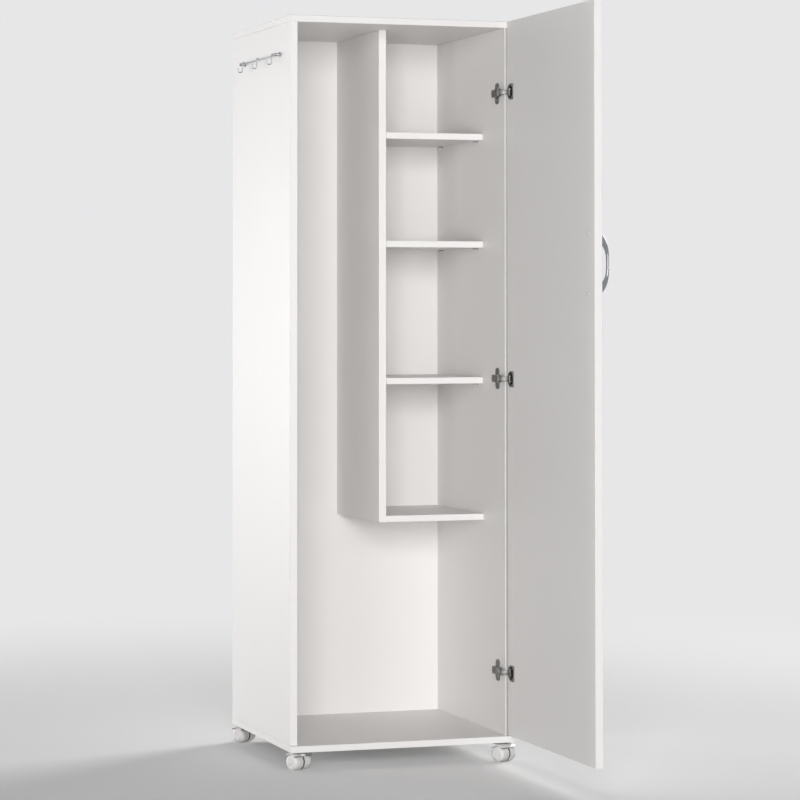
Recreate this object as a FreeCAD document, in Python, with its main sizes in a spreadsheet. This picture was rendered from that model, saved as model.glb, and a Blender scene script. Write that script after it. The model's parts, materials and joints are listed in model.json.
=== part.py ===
import FreeCAD, Part
import math
import os
import Sketcher
from FreeCAD import Placement, Rotation, Vector

# Broom cupboard on four twin-wheel casters, its single door standing open at a right angle.
# Millimetres. +Z is up, -Y is the front of the cupboard, +X is the side that carries the door.
# The origin lies on the floor, in the middle of the ground that cupboard and open door cover.

doc = FreeCAD.newDocument("broom_cupboard")
sheet = doc.addObject("Spreadsheet::Sheet", "sizes")


class Size:
    """A length that knows its number and the expression that yields it from the sheet."""

    def __init__(self, text, number):
        self.text = text
        self.number = number

    def __add__(self, other):
        other = as_size(other)
        return Size(f"({self.text} + {other.text})", self.number + other.number)

    def __sub__(self, other):
        other = as_size(other)
        return Size(f"({self.text} - {other.text})", self.number - other.number)

    def __mul__(self, other):
        other = as_size(other)
        return Size(f"({self.text} * {other.text})", self.number * other.number)

    def __truediv__(self, other):
        other = as_size(other)
        return Size(f"({self.text} / {other.text})", self.number / other.number)

    def __neg__(self):
        return as_size(0) - self

    def __radd__(self, other):
        return as_size(other) + self

    def __rsub__(self, other):
        return as_size(other) - self

    def __rmul__(self, other):
        return as_size(other) * self

    def root(self):
        return Size(f"sqrt({self.text})", math.sqrt(self.number))


def as_size(value):
    return value if isinstance(value, Size) else Size(f"{value:g}", float(value))


def size(alias, number, meaning):
    """One driving dimension: a row of the sheet with its number, its alias and what it is."""
    row = size.row
    size.row += 1
    sheet.set(f"A{row}", meaning)
    sheet.set(f"B{row}", f"{number:g}")
    sheet.setAlias(f"B{row}", alias)
    return Size(f"sizes.{alias}", float(number))


size.row = 1

# Carcass
total_height = size("total_height", 1700, "floor to the upper face of the top panel")
caster_height = size("caster_height", 42, "floor to the underside of the base panel")
carcass_width = size("carcass_width", 534, "outer face to outer face of the sides")
side_depth = size("side_depth", 490, "depth of the sides")
base_nose = size("base_nose", 13, "how far the base panel stands out under the door")
board = size("board", 18, "thickness of sides, divider and door")
thin_board = size("thin_board", 15, "thickness of top, base and shelves")
eased = size("eased", 0.6, "chamfer on every board edge")
back_board = size("back_board", 3, "thickness of the back panel")
back_inset = size("back_inset", 12, "rear edge of the sides to the back panel")
groove_depth = size("groove_depth", 6, "depth of the grooves that hold the back panel")
groove_play = size("groove_play", 0.2, "play of the back panel in its grooves")

# Inner fittings
inner_setback = size("inner_setback", 146, "front edge of the sides to divider and shelves")
shelf_play = size("shelf_play", 0.5, "gap at each end of a loose shelf")
upper_drop = size("upper_drop", 252, "upper face of the top panel down to the upper shelf")
middle_drop = size("middle_drop", 505, "upper face of the top panel down to the middle shelf")
lower_drop = size("lower_drop", 824, "upper face of the top panel down to the lower shelf")
fixed_drop = size("fixed_drop", 1144, "upper face of the top panel down to the fixed shelf")
support_width = size("support_width", 9, "width of a shelf support")
support_reach = size("support_reach", 9, "how far a shelf support stands out of the board")
support_thick = size("support_thick", 3, "thickness of a shelf support")
support_stud = size("support_stud", 5, "diameter of the stud of a shelf support")
support_bite = size("support_bite", 8, "how deep the stud of a shelf support goes in")
support_edge = size("support_edge", 40, "shelf support to the front or rear edge of the shelf")

# Fasteners of the carcass
fit_play = size("fit_play", 0.05, "gap between a fastener and the wall of its bore")
screw_shank = size("screw_shank", 7, "diameter of a carcass screw")
screw_head = size("screw_head", 10, "diameter of the head of a carcass screw")
screw_head_thick = size("screw_head_thick", 3, "thickness of the head of a carcass screw")
screw_length = size("screw_length", 50, "length of a carcass screw")
screw_socket = size("screw_socket", 4, "hexagon socket across the flats")
screw_inset = size("screw_inset", 72, "carcass screw to the front or rear edge of a side")
cap_width = size("cap_width", 13, "diameter of a cover cap")
cap_thick = size("cap_thick", 0.8, "thickness of a cover cap")
cap_sink = size("cap_sink", 0.2, "cover cap below the upper face of the top panel")
dowel_width = size("dowel_width", 8, "diameter of a wooden dowel")
dowel_length = size("dowel_length", 30, "length of a wooden dowel")
dowel_face_bite = size("dowel_face_bite", 11, "how deep a dowel stands in the face of a board")
dowel_end_play = size("dowel_end_play", 0.5, "gap beyond each end of a dowel")

# Door and its open position
door_reveal = size("door_reveal", 1, "door to the outer edge of side and top when shut")
door_foot_gap = size("door_foot_gap", 1, "door to the upper face of the base panel")
door_offset = size("door_offset", 5, "inner face of the open door past the inner face of the side")
swing_gap = size("swing_gap", 3.5, "hinge edge of the open door in front of the sides")

# Cup hinges
upper_hinge = size("upper_hinge", 163, "middle of the upper hinge to the upper end of the door")
middle_hinge = size("middle_hinge", 817, "middle hinge to the lower end of the door")
lower_hinge = size("lower_hinge", 143.5, "lower hinge to the lower end of the door")
cup_width = size("cup_width", 35, "diameter of the hinge cup")
cup_depth = size("cup_depth", 12.5, "depth of the hinge cup")
cup_wall = size("cup_wall", 1.1, "wall of the hinge cup")
cup_edge = size("cup_edge", 20.5, "middle of the hinge cup to the hinge edge of the door")
cup_rim = size("cup_rim", 35.6, "diameter of the rim of the hinge cup")
flange_thick = size("flange_thick", 1, "thickness of rim and flange of the hinge cup")
flange_near = size("flange_near", 3.5, "flange ahead of the middle of the hinge cup")
flange_far = size("flange_far", 20.5, "flange past the middle of the hinge cup")
flange_margin = size("flange_margin", 5, "cup screw to the outline of the flange")
cup_screw_pitch = size("cup_screw_pitch", 27, "distance between the two cup screws")
cup_pin_edge = size("cup_pin_edge", 7.3, "cup pin to the hinge edge of the door")
cup_pin_sink = size("cup_pin_sink", 2.18, "cup pin below the inner face of the door")
hinge_pin = size("hinge_pin", 1.8, "diameter of the hinge pins")
pin_play = size("pin_play", 0.04, "gap between a hinge pin and the eye round it")
eye_width = size("eye_width", 3.8, "diameter of the eyes of a hinge link")
link_width = size("link_width", 10, "width of a hinge link")
link_thick = size("link_thick", 1.6, "thickness of a hinge link")
link_bend = size("link_bend", 16.7, "radius of the bend of a hinge link")
arm_pin_ahead = size("arm_pin_ahead", 1.6, "arm pin behind the front edge of the side")
arm_pin_rise = size("arm_pin_rise", 15, "arm pin above the inner face of the side")
arm_width = size("arm_width", 16.8, "width of the hinge arm")
sheet_metal = size("sheet_metal", 1.2, "thickness of the sheet of arm and cheeks")
arm_nose = size("arm_nose", 2.2, "front end of the arm ahead of its pin")
arm_length = size("arm_length", 61, "rear end of the arm behind the front edge of the side")
arm_high = size("arm_high", 19, "height of the arm at its front")
arm_low = size("arm_low", 10.2, "height of the arm over the mounting plate")
plate_middle = size("plate_middle", 47.5, "mounting plate behind the front edge of the side")
plate_wing = size("plate_wing", 49, "height of the wings of the mounting plate")
plate_wing_width = size("plate_wing_width", 24, "width of the wings of the mounting plate")
plate_thick = size("plate_thick", 2, "thickness of the mounting plate")
plate_block = size("plate_block", 6, "height of the raised block of the mounting plate")
plate_block_length = size("plate_block_length", 26, "length of the raised block")
plate_pitch = size("plate_pitch", 32, "distance between the two screws of a plate")
adjust_pitch = size("adjust_pitch", 14, "distance between the two screws of an arm")
adjust_shank = size("adjust_shank", 4, "shank of an adjusting screw")
adjust_head = size("adjust_head", 7, "head of an adjusting screw")
wood_screw = size("wood_screw", 3.5, "shank of the small wood screws")
wood_screw_head = size("wood_screw_head", 6.6, "head of the small wood screws")
wood_screw_length = size("wood_screw_length", 14, "length of the small wood screws")

# Handle
handle_height = size("handle_height", 1133, "floor to the middle of the handle")
handle_edge = size("handle_edge", 35, "handle to the free edge of the door")
handle_length = size("handle_length", 148, "length of the handle")
handle_opening = size("handle_opening", 102, "length of the opening behind the handle")
handle_reach = size("handle_reach", 28.5, "how far the handle stands out")
handle_clear = size("handle_clear", 24, "finger room behind the handle")
handle_width = size("handle_width", 10, "width of the handle")
handle_pitch = size("handle_pitch", 128, "distance between the two handle screws")
handle_screw = size("handle_screw", 4, "shank of a handle screw")
handle_bite = size("handle_bite", 7, "how deep a handle screw goes into the handle")

# Hook rail on the left side
rail_drop = size("rail_drop", 84, "upper face of the top panel down to the hook rail")
rail_width = size("rail_width", 3, "diameter of the rail")
rail_length = size("rail_length", 310, "length of the rail")
rail_start = size("rail_start", 74, "front edge of the side to the front end of the rail")
rail_reach = size("rail_reach", 11, "axis of the rail to the side")
post_width = size("post_width", 6.5, "diameter of the posts that carry the rail")
post_foot = size("post_foot", 11, "diameter of the foot of a post")
hook_wire = size("hook_wire", 2.4, "wire of the hooks")
hook_play = size("hook_play", 0.35, "gap between the rail and the curl of a hook")
hook_drop = size("hook_drop", 16, "straight part of a hook")
hook_bend = size("hook_bend", 5, "radius of the bend of a hook")
hook_tip = size("hook_tip", 5, "length of the tip of a hook")
hook_pitch = size("hook_pitch", 125, "distance between two hooks")

# Casters
caster_side_inset = size("caster_side_inset", 33, "swivel axis to the side face of the base")
caster_front_inset = size("caster_front_inset", 18, "swivel axis to the front edge of the base")
caster_rear_inset = size("caster_rear_inset", 29, "swivel axis to the rear edge of the base")
mount_plate = size("mount_plate", 34, "edge of the square plate of a caster")
mount_plate_thick = size("mount_plate_thick", 2, "thickness of the plate of a caster")
mount_plate_pitch = size("mount_plate_pitch", 20, "distance between the screws of a caster")
kingpin = size("kingpin", 6, "diameter of the swivel pin")
kingpin_length = size("kingpin_length", 5, "length of the swivel pin below the plate")
wheel_width = size("wheel_width", 37, "diameter of a wheel")
wheel_thick = size("wheel_thick", 24, "width of a wheel")
wheel_rounding = size("wheel_rounding", 5, "rounding of the outer shoulder of a wheel")
wheel_dish = size("wheel_dish", 1.6, "depth of the dish in the outer face of a wheel")
trail = size("trail", 15, "axle behind the swivel axis")
hood_gap = size("hood_gap", 0.7, "gap between hood and wheels")
hood_thick = size("hood_thick", 1.7, "wall of the hood")
web_thick = size("web_thick", 3.4, "wall of the hood between the two wheels")
boss_width = size("boss_width", 12, "diameter of the boss round the swivel pin")
axle_width = size("axle_width", 5, "diameter of the axle")
axle_bite = size("axle_bite", 10, "how deep the axle goes into a wheel")
run_play = size("run_play", 0.08, "gap between axle and wheel, and round the swivel pin")
swivel_gap = size("swivel_gap", 0.6, "gap between the plate of a caster and its hood")

doc.recompute()

# Places that follow from the sizes
door_width = carcass_width - door_reveal * 2
rear_y = (side_depth + swing_gap + door_width) / 2
front_y = rear_y - side_depth
right_x = carcass_width / 2
left_x = -right_x
inner_right_x = right_x - board
inner_left_x = left_x + board
inner_width = carcass_width - board * 2
base_top_z = caster_height + thin_board
ceiling_z = total_height - thin_board
side_height = ceiling_z - base_top_z
back_front_y = rear_y - back_inset - back_board
inner_front_y = front_y + inner_setback
inner_depth = back_front_y - inner_front_y
divider_x = -(board / 2)
bay_width = inner_right_x - divider_x - board
fixed_top_z = total_height - fixed_drop
fixed_bottom_z = fixed_top_z - thin_board
door_x = inner_right_x + door_offset
door_hinge_y = front_y - swing_gap
door_bottom_z = base_top_z + door_foot_gap
door_height = total_height - door_reveal - door_bottom_z
rail_z = total_height - rail_drop
wheel_radius = wheel_width / 2

# Turns that lay a part from its own axes into the cupboard
FLAT = Rotation()
SIDEWAYS = Rotation(Vector(0, 1, 0), Vector(0, 0, 1), Vector(1, 0, 0), "ZXY")
UPRIGHT = Rotation(Vector(1, 0, 0), Vector(0, 0, 1), Vector(0, -1, 0), "ZXY")
FROM_DOOR = Rotation(Vector(0, -1, 0), Vector(0, 0, 1), Vector(-1, 0, 0), "ZXY")
FROM_SIDE = Rotation(Vector(0, 1, 0), Vector(-1, 0, 0), Vector(0, 0, 1), "ZXY")
UPSIDE_DOWN = Rotation(Vector(1, 0, 0), 180)
POINT_RIGHT = Rotation(Vector(0, 1, 0), 90)
POINT_LEFT = Rotation(Vector(0, 1, 0), -90)
POINT_BACK = Rotation(Vector(1, 0, 0), -90)
STUD_LEFT = Rotation(Vector(0, 0, -1), Vector(0, -1, 0), Vector(-1, 0, 0), "ZXY")
ALONG_DOOR = Rotation(Vector(0, 0, 1), Vector(1, 0, 0), Vector(0, 1, 0), "ZXY")
OFF_LEFT_SIDE = Rotation(Vector(-1, 0, 0), Vector(0, 0, 1), Vector(0, 1, 0), "ZXY")


def bind(target, name, value):
    target.setExpression(name, as_size(value).text)


def place(target, x, y, z, turn=FLAT):
    """Set where a part stands, each coordinate bound to the sheet."""
    x, y, z = as_size(x), as_size(y), as_size(z)
    target.Placement = Placement(Vector(x.number, y.number, z.number), turn)
    for axis, value in (("x", x), ("y", y), ("z", z)):
        bind(target, f"Placement.Base.{axis}", value)


def new_body(label):
    body = doc.addObject("PartDesign::Body", label)
    body.Label = label
    return body


def new_sketch(body, role, lift=0):
    """A sketch on one of the body's own planes, or at a distance from it along its normal."""
    sketch = body.newObject("Sketcher::SketchObject", f"{body.Name}_sketch")
    plane = [f for f in body.Origin.OriginFeatures if f.Role == role][0]
    sketch.AttachmentSupport = (plane, [""])
    sketch.MapMode = "FlatFace"
    bind(sketch, "AttachmentOffset.Base.z", lift)
    return sketch


def fix_point(sketch, index, end, x, y):
    """Hold one point of a sketch at coordinates that the sheet sets."""
    for kind, value in (("DistanceX", as_size(x)), ("DistanceY", as_size(y))):
        number = sketch.addConstraint(Sketcher.Constraint(kind, index, end, value.number))
        bind(sketch, f"Constraints[{number}]", value)


def draw_loop(sketch, corners):
    """A closed outline of straight lines through the corners."""
    points = [Vector(as_size(x).number, as_size(y).number) for x, y in corners]
    count = len(points)
    start = sketch.GeometryCount
    for i in range(count):
        sketch.addGeometry(Part.LineSegment(points[i], points[(i + 1) % count]))
    for i in range(count):
        sketch.addConstraint(
            Sketcher.Constraint("Coincident", start + i, 2, start + (i + 1) % count, 1)
        )
    for i, (x, y) in enumerate(corners):
        fix_point(sketch, start + i, 1, x, y)


def draw_box(sketch, x0, y0, x1, y1):
    draw_loop(sketch, [(x0, y0), (x1, y0), (x1, y1), (x0, y1)])


def draw_circle(sketch, x, y, diameter):
    x, y, diameter = as_size(x), as_size(y), as_size(diameter)
    circle = Part.Circle(Vector(x.number, y.number), Vector(0, 0, 1), diameter.number / 2)
    index = sketch.addGeometry(circle)
    fix_point(sketch, index, 3, x, y)
    number = sketch.addConstraint(Sketcher.Constraint("Diameter", index, diameter.number))
    bind(sketch, f"Constraints[{number}]", diameter)
    return index


def add_arc(sketch, x, y, radius, first, last):
    """An arc from the angle first to the angle last, in degrees, not yet bound to the sheet."""
    middle = Vector(as_size(x).number, as_size(y).number)
    circle = Part.Circle(middle, Vector(0, 0, 1), radius.number)
    return sketch.addGeometry(Part.ArcOfCircle(circle, math.radians(first), math.radians(last)))


def join(sketch, index, end, other, other_end):
    sketch.addConstraint(Sketcher.Constraint("Coincident", index, end, other, other_end))


def set_radius(sketch, index, radius):
    number = sketch.addConstraint(Sketcher.Constraint("Radius", index, radius.number))
    bind(sketch, f"Constraints[{number}]", radius)


def checked(body, volume, grows):
    """Recompute, and stop if the last step of the body cut or added nothing."""
    doc.recompute()
    after = body.Shape.Volume
    if (after > volume) is not grows or abs(after - volume) < 1e-3:
        raise ValueError(f"{body.Label}: {body.Tip.Name} changed {volume:.3f} to {after:.3f}")


def volume_of(body):
    return 0 if body.Shape.isNull() else body.Shape.Volume


def pad(body, sketch, length, both_ways=False, backwards=False):
    doc.recompute()
    volume = volume_of(body)
    feature = body.newObject("PartDesign::Pad", f"{body.Name}_pad")
    feature.Profile = sketch
    bind(feature, "Length", length)
    feature.Midplane = both_ways
    feature.Reversed = backwards
    checked(body, volume, True)
    return feature


def cut(body, sketch, length, both_ways=False, backwards=False):
    doc.recompute()
    volume = volume_of(body)
    feature = body.newObject("PartDesign::Pocket", f"{body.Name}_pocket")
    feature.Profile = sketch
    bind(feature, "Length", length)
    feature.Midplane = both_ways
    feature.Reversed = backwards
    checked(body, volume, False)
    return feature


def turned(body, outline):
    """A solid of revolution about the body's Z axis, from (radius, height) corners."""
    sketch = new_sketch(body, "XZ_Plane")
    draw_loop(sketch, outline)
    feature = body.newObject("PartDesign::Revolution", f"{body.Name}_turned")
    feature.Profile = sketch
    feature.ReferenceAxis = (sketch, ["V_Axis"])
    feature.Angle = 360
    checked(body, 0, True)
    return feature


def edges_where(body, test):
    return [f"Edge{i + 1}" for i, edge in enumerate(body.Shape.Edges) if test(edge)]


def soften(body, kind, amount, test):
    """Chamfer or fillet the edges that pass the test."""
    doc.recompute()
    volume = volume_of(body)
    base, names = body.Tip, edges_where(body, test)
    if not names:
        raise ValueError(f"{body.Label}: no edge to soften")
    feature = body.newObject(f"PartDesign::{kind}", f"{body.Name}_{kind}")
    feature.Base = (base, names)
    bind(feature, "Size" if kind == "Chamfer" else "Radius", amount)
    checked(body, volume, False)
    return feature


def bore(body, dimensions, face, points, diameter, depth):
    """Round bores from one face of a board whose own axes run along its length, width, thickness."""
    length, width, thick = dimensions
    faces = {
        "lower": ("XY_Plane", 0, True),
        "upper": ("XY_Plane", thick, False),
        "near": ("XZ_Plane", 0, False),
        "far": ("XZ_Plane", -width, True),
        "start": ("YZ_Plane", 0, True),
        "end": ("YZ_Plane", length, False),
    }
    role, lift, backwards = faces[face]
    sketch = new_sketch(body, role, lift)
    for x, y in points:
        draw_circle(sketch, x, y, diameter)
    cut(body, sketch, depth, backwards=backwards)


def board_part(label, dimensions, x, y, z, turn=FLAT):
    """A plain board with eased edges, its lower corner at the given place."""
    length, width, thick = dimensions
    body = new_body(label)
    sketch = new_sketch(body, "XY_Plane")
    draw_box(sketch, 0, 0, length, width)
    pad(body, sketch, thick)
    soften(body, "Chamfer", eased, lambda edge: True)
    place(body, x, y, z, turn)
    return body


def copy_part(label, source, x, y, z, turn):
    """One more copy of a solid, as a part of its own."""
    link = doc.addObject("App::Link", label)
    link.Label = label
    link.LinkedObject = source
    place(link, x, y, z, turn)
    return link


def group(label, source, places):
    """Separate copies of one solid, each at its own place, as one part."""
    links = []
    for i, (x, y, z, turn) in enumerate(places):
        link = doc.addObject("App::Link", f"{label}_{i + 1}")
        link.LinkedObject = source
        place(link, x, y, z, turn)
        links.append(link)
    compound = doc.addObject("Part::Compound", f"{label}_group")
    compound.Label = label
    compound.Links = links
    return compound


nodes = []
door_top_z = door_bottom_z + door_height
hinge_heights = [door_bottom_z + lower_hinge, door_bottom_z + middle_hinge, door_top_z - upper_hinge]
shank_bore = screw_shank + fit_play * 2
dowel_bore = dowel_width + fit_play * 2
dowel_edge_bite = dowel_length - dowel_face_bite
groove_width = back_board + groove_play
small_bore = wood_screw + fit_play * 2

# ---------------------------------------------------------------- carcass boards

# The base runs under both sides and stands out under the door.
base_depth = side_depth + base_nose
base_size = (carcass_width, base_depth, thin_board)
base_panel = board_part("base_panel", base_size, left_x, front_y - base_nose, caster_height)
top_size = (carcass_width, side_depth, thin_board)
top_panel = board_part("top_panel", top_size, left_x, front_y, ceiling_z)


def cross_groove(body, y0, lift, backwards):
    """The groove for the back panel in the top or the base, between the grooves of the sides."""
    sketch = new_sketch(body, "XY_Plane", lift)
    start = board - groove_depth
    draw_box(sketch, start, y0, carcass_width - start, y0 + groove_width)
    cut(body, sketch, groove_depth, backwards=backwards)


groove_y = side_depth - back_inset - back_board - groove_play / 2
cross_groove(top_panel, groove_y, 0, True)
cross_groove(base_panel, groove_y + base_nose, thin_board, False)

end_xs = [board / 2, carcass_width - board / 2]
screw_depths = [screw_inset, side_depth - screw_inset]
divider_ys = [inner_setback + screw_inset, side_depth - screw_inset]
top_screws = [(x, y) for x in end_xs for y in screw_depths]
top_screws += [(carcass_width / 2, y) for y in divider_ys]
base_screws = [(x, y + base_nose) for x in end_xs for y in screw_depths]
bore(top_panel, top_size, "upper", top_screws, shank_bore, thin_board)
bore(base_panel, base_size, "lower", base_screws, shank_bore, thin_board)
head_bore = screw_head + fit_play * 4
head_sink = screw_head_thick + groove_play
bore(base_panel, base_size, "lower", base_screws, head_bore, head_sink)

# The heads in the top lie deeper, under a seat that takes a cover cap
cap_seat = cap_thick + cap_sink
top_head_sink = cap_seat + head_sink
bore(top_panel, top_size, "upper", top_screws, head_bore, top_head_sink)
bore(top_panel, top_size, "upper", top_screws, cap_width + fit_play * 4, cap_seat)

face_bite = dowel_face_bite + dowel_end_play
edge_bite = dowel_edge_bite + dowel_end_play
divider_dowel_y = inner_setback + (inner_depth / 2)
top_dowels = [(x, side_depth / 2) for x in end_xs] + [(carcass_width / 2, divider_dowel_y)]
base_dowels = [(x, side_depth / 2 + base_nose) for x in end_xs]
bore(top_panel, top_size, "lower", top_dowels, dowel_bore, face_bite)
bore(base_panel, base_size, "upper", base_dowels, dowel_bore, face_bite)

# Small bores for the caster screws, four under each corner
caster_xs = [left_x + caster_side_inset, right_x - caster_side_inset]
caster_ys = [front_y - base_nose + caster_front_inset, rear_y - caster_rear_inset]
half_pitch = mount_plate_pitch / 2
corner_steps = [(sx, sy) for sx in (-1, 1) for sy in (-1, 1)]
caster_screw_xys = [
    (x + half_pitch * sx, y + half_pitch * sy)
    for x in caster_xs
    for y in caster_ys
    for sx, sy in corner_steps
]
base_front_y = front_y - base_nose
caster_bores = [(x - left_x, y - base_front_y) for x, y in caster_screw_xys]
caster_bite = wood_screw_length - mount_plate_thick + dowel_end_play
bore(base_panel, base_size, "lower", caster_bores, small_bore, caster_bite)
nodes += [base_panel, top_panel]

# The two sides stand between base and top. Their own axes run to the rear, up and to the right.
side_size = (side_depth, side_height, board)
side_groove_x = side_depth - back_inset - back_board - groove_play / 2
screw_end_bite = screw_length - thin_board + top_head_sink


def side_part(label, x, groove_lift, groove_backwards):
    body = board_part(label, side_size, x, front_y, base_top_z, SIDEWAYS)
    sketch = new_sketch(body, "XY_Plane", groove_lift)
    draw_box(sketch, side_groove_x, 0, side_groove_x + groove_width, side_height)
    cut(body, sketch, groove_depth, backwards=groove_backwards)
    ends = [(y, board / 2) for y in screw_depths]
    middle = [(side_depth / 2, board / 2)]
    for face in ("near", "far"):
        bore(body, side_size, face, ends, shank_bore, screw_end_bite)
        bore(body, side_size, face, middle, dowel_bore, edge_bite)
    return body


left_side = side_part("left_side", left_x, board, False)
right_side = side_part("right_side", inner_right_x, 0, True)

shelf_drops = [upper_drop, middle_drop, lower_drop]
support_ys = [inner_setback + support_edge, inner_setback + inner_depth - support_edge]
stud_bore = support_stud + fit_play * 2
stud_bite = support_bite + dowel_end_play
stud_heights = [total_height - drop - thin_board - support_stud / 2 for drop in shelf_drops]
fixed_middle_z = fixed_bottom_z + thin_board / 2
fixed_dowel_ys = [inner_setback + screw_inset, inner_setback + inner_depth - screw_inset]
right_studs = [(y, z - base_top_z) for y in support_ys for z in stud_heights]
right_dowels = [(y, fixed_middle_z - base_top_z) for y in fixed_dowel_ys]
bore(right_side, side_size, "lower", right_studs, stud_bore, stud_bite)
bore(right_side, side_size, "lower", right_dowels, dowel_bore, face_bite)
plate_screws = [
    (plate_middle, z + plate_pitch / 2 * s - base_top_z) for z in hinge_heights for s in (-1, 1)
]
plate_bite = wood_screw_length - plate_thick + dowel_end_play
bore(right_side, side_size, "lower", plate_screws, small_bore, plate_bite)

post_bore = wood_screw + fit_play * 2
post_ys = [rail_start + post_width, rail_start + rail_length - post_width]
bore(left_side, side_size, "lower", [(y, rail_z - base_top_z) for y in post_ys], post_bore, board)
nodes += [left_side, right_side]

# The thin back slides in the grooves of sides, top and base.
back_margin = groove_depth - groove_play * 2
back_size = (inner_width + back_margin * 2, side_height + back_margin * 2, back_board)
back_panel = new_body("back_panel")
back_sketch = new_sketch(back_panel, "XY_Plane")
draw_box(back_sketch, 0, 0, back_size[0], back_size[1])
pad(back_panel, back_sketch, back_board)
back_x = inner_left_x - back_margin
place(back_panel, back_x, back_front_y + back_board, base_top_z - back_margin, UPRIGHT)
nodes.append(back_panel)

# The divider hangs from the top down to the underside of the fixed shelf.
divider_size = (inner_depth, ceiling_z - fixed_bottom_z, board)
divider = board_part("divider", divider_size, divider_x, inner_front_y, fixed_bottom_z, SIDEWAYS)
divider_ends = [(y - inner_setback, board / 2) for y in divider_ys]
bore(divider, divider_size, "far", divider_ends, shank_bore, screw_end_bite)
divider_middle = [(inner_depth / 2, board / 2)]
bore(divider, divider_size, "far", divider_middle, dowel_bore, edge_bite)
divider_studs = [(y - inner_setback, z - fixed_bottom_z) for y in support_ys for z in stud_heights]
bore(divider, divider_size, "upper", divider_studs, stud_bore, stud_bite)
divider_dowels = [(y - inner_setback, thin_board / 2) for y in fixed_dowel_ys]
bore(divider, divider_size, "upper", divider_dowels, dowel_bore, face_bite)
nodes.append(divider)

# The fixed shelf closes the bay below; three loose shelves lie on supports above it.
bay_x = divider_x + board
fixed_size = (bay_width, inner_depth, thin_board)
fixed_shelf = board_part("fixed_shelf", fixed_size, bay_x, inner_front_y, fixed_bottom_z)
fixed_ends = [(y - inner_setback, thin_board / 2) for y in fixed_dowel_ys]
for face in ("start", "end"):
    bore(fixed_shelf, fixed_size, face, fixed_ends, dowel_bore, edge_bite)
nodes.append(fixed_shelf)
loose_size = (bay_width - shelf_play * 2, inner_depth, thin_board)
for name, drop in zip(("upper_shelf", "middle_shelf", "lower_shelf"), shelf_drops):
    z = total_height - drop - thin_board
    nodes.append(board_part(name, loose_size, bay_x + shelf_play, inner_front_y, z))

# ---------------------------------------------------------------- fasteners of the carcass

# Shelf support: a flat tongue with a round stud that points along +Z of its own axes
support = new_body("shelf_support")
support_sketch = new_sketch(support, "XY_Plane")
half_support = support_width / 2
draw_box(support_sketch, 0, -half_support, support_thick, half_support)
pad(support, support_sketch, support_reach, backwards=True)
stud_sketch = new_sketch(support, "XY_Plane")
draw_circle(stud_sketch, support_stud / 2, 0, support_stud)
pad(support, stud_sketch, support_bite)

support_places = []
for y in support_ys:
    for drop in shelf_drops:
        top = total_height - drop - thin_board
        support_places.append((inner_right_x, front_y + y, top, POINT_RIGHT))
        support_places.append((bay_x, front_y + y, top, STUD_LEFT))
nodes.append(group("shelf_supports", support, support_places))

# Carcass screw: flat head with a hexagon socket, its point along -Z
carcass_screw = new_body("carcass_screw")
half_head, half_shank = screw_head / 2, screw_shank / 2
point_z = -screw_length + half_shank
turned(
    carcass_screw,
    [
        (0, 0),
        (half_head, 0),
        (half_head, -screw_head_thick),
        (half_shank, -screw_head_thick),
        (half_shank, point_z),
        (0, -screw_length),
    ],
)
hexagon = [math.radians(60 * i + 30) for i in range(6)]
corner = screw_socket / math.sqrt(3)
socket_sketch = new_sketch(carcass_screw, "XY_Plane")
draw_loop(socket_sketch, [(corner * math.cos(a), corner * math.sin(a)) for a in hexagon])
cut(carcass_screw, socket_sketch, screw_head_thick)
top_screw_z = total_height - cap_seat - groove_play
screw_places = [(left_x + x, front_y + y, top_screw_z, FLAT) for x, y in top_screws]
base_screw_z = caster_height + groove_play
screw_places += [
    (left_x + x, base_front_y + y, base_screw_z, UPSIDE_DOWN) for x, y in base_screws
]
nodes.append(group("carcass_screws", carcass_screw, screw_places))

# Cover cap: a flat button whose stub stands in the socket of the screw
cap = new_body("cover_cap")
stub = screw_socket / 2 - groove_play
turned(
    cap,
    [
        (0, cap_thick),
        (cap_width / 2 - cap_thick / 2, cap_thick),
        (cap_width / 2, 0),
        (stub, 0),
        (stub, -screw_head_thick * 0.8),
        (0, -screw_head_thick * 0.8),
    ],
)
cap_places = [(left_x + x, front_y + y, total_height - cap_seat, FLAT) for x, y in top_screws]
nodes.append(group("cover_caps", cap, cap_places))

# Wooden dowels, hidden in blind bores: upright ones in the sides, lying ones in the fixed shelf
dowel = new_body("dowel")
half_dowel = dowel_width / 2
turned(
    dowel,
    [
        (0, 0),
        (half_dowel - eased, 0),
        (half_dowel, eased),
        (half_dowel, dowel_length - eased),
        (half_dowel - eased, dowel_length),
        (0, dowel_length),
    ],
)
top_dowel_z = ceiling_z - dowel_edge_bite
base_dowel_z = base_top_z - dowel_face_bite
dowel_places = [(left_x + x, front_y + y, top_dowel_z, FLAT) for x, y in top_dowels]
dowel_places += [(left_x + x, base_front_y + y, base_dowel_z, FLAT) for x, y in base_dowels]
for y in fixed_dowel_ys:
    left_dowel_x = bay_x - dowel_face_bite
    right_dowel_x = inner_right_x - dowel_edge_bite
    dowel_places.append((left_dowel_x, front_y + y, fixed_middle_z, POINT_RIGHT))
    dowel_places.append((right_dowel_x, front_y + y, fixed_middle_z, POINT_RIGHT))
nodes.append(group("wood_dowels", dowel, dowel_places))


def draw_cross(sketch, span, width):
    """The outline of a cross recess."""
    a, b = span / 2, width / 2
    corners = [(a, -b), (a, b), (b, b), (b, a), (-b, a), (-b, b)]
    draw_loop(sketch, corners + [(-x, -y) for x, y in corners])


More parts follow.
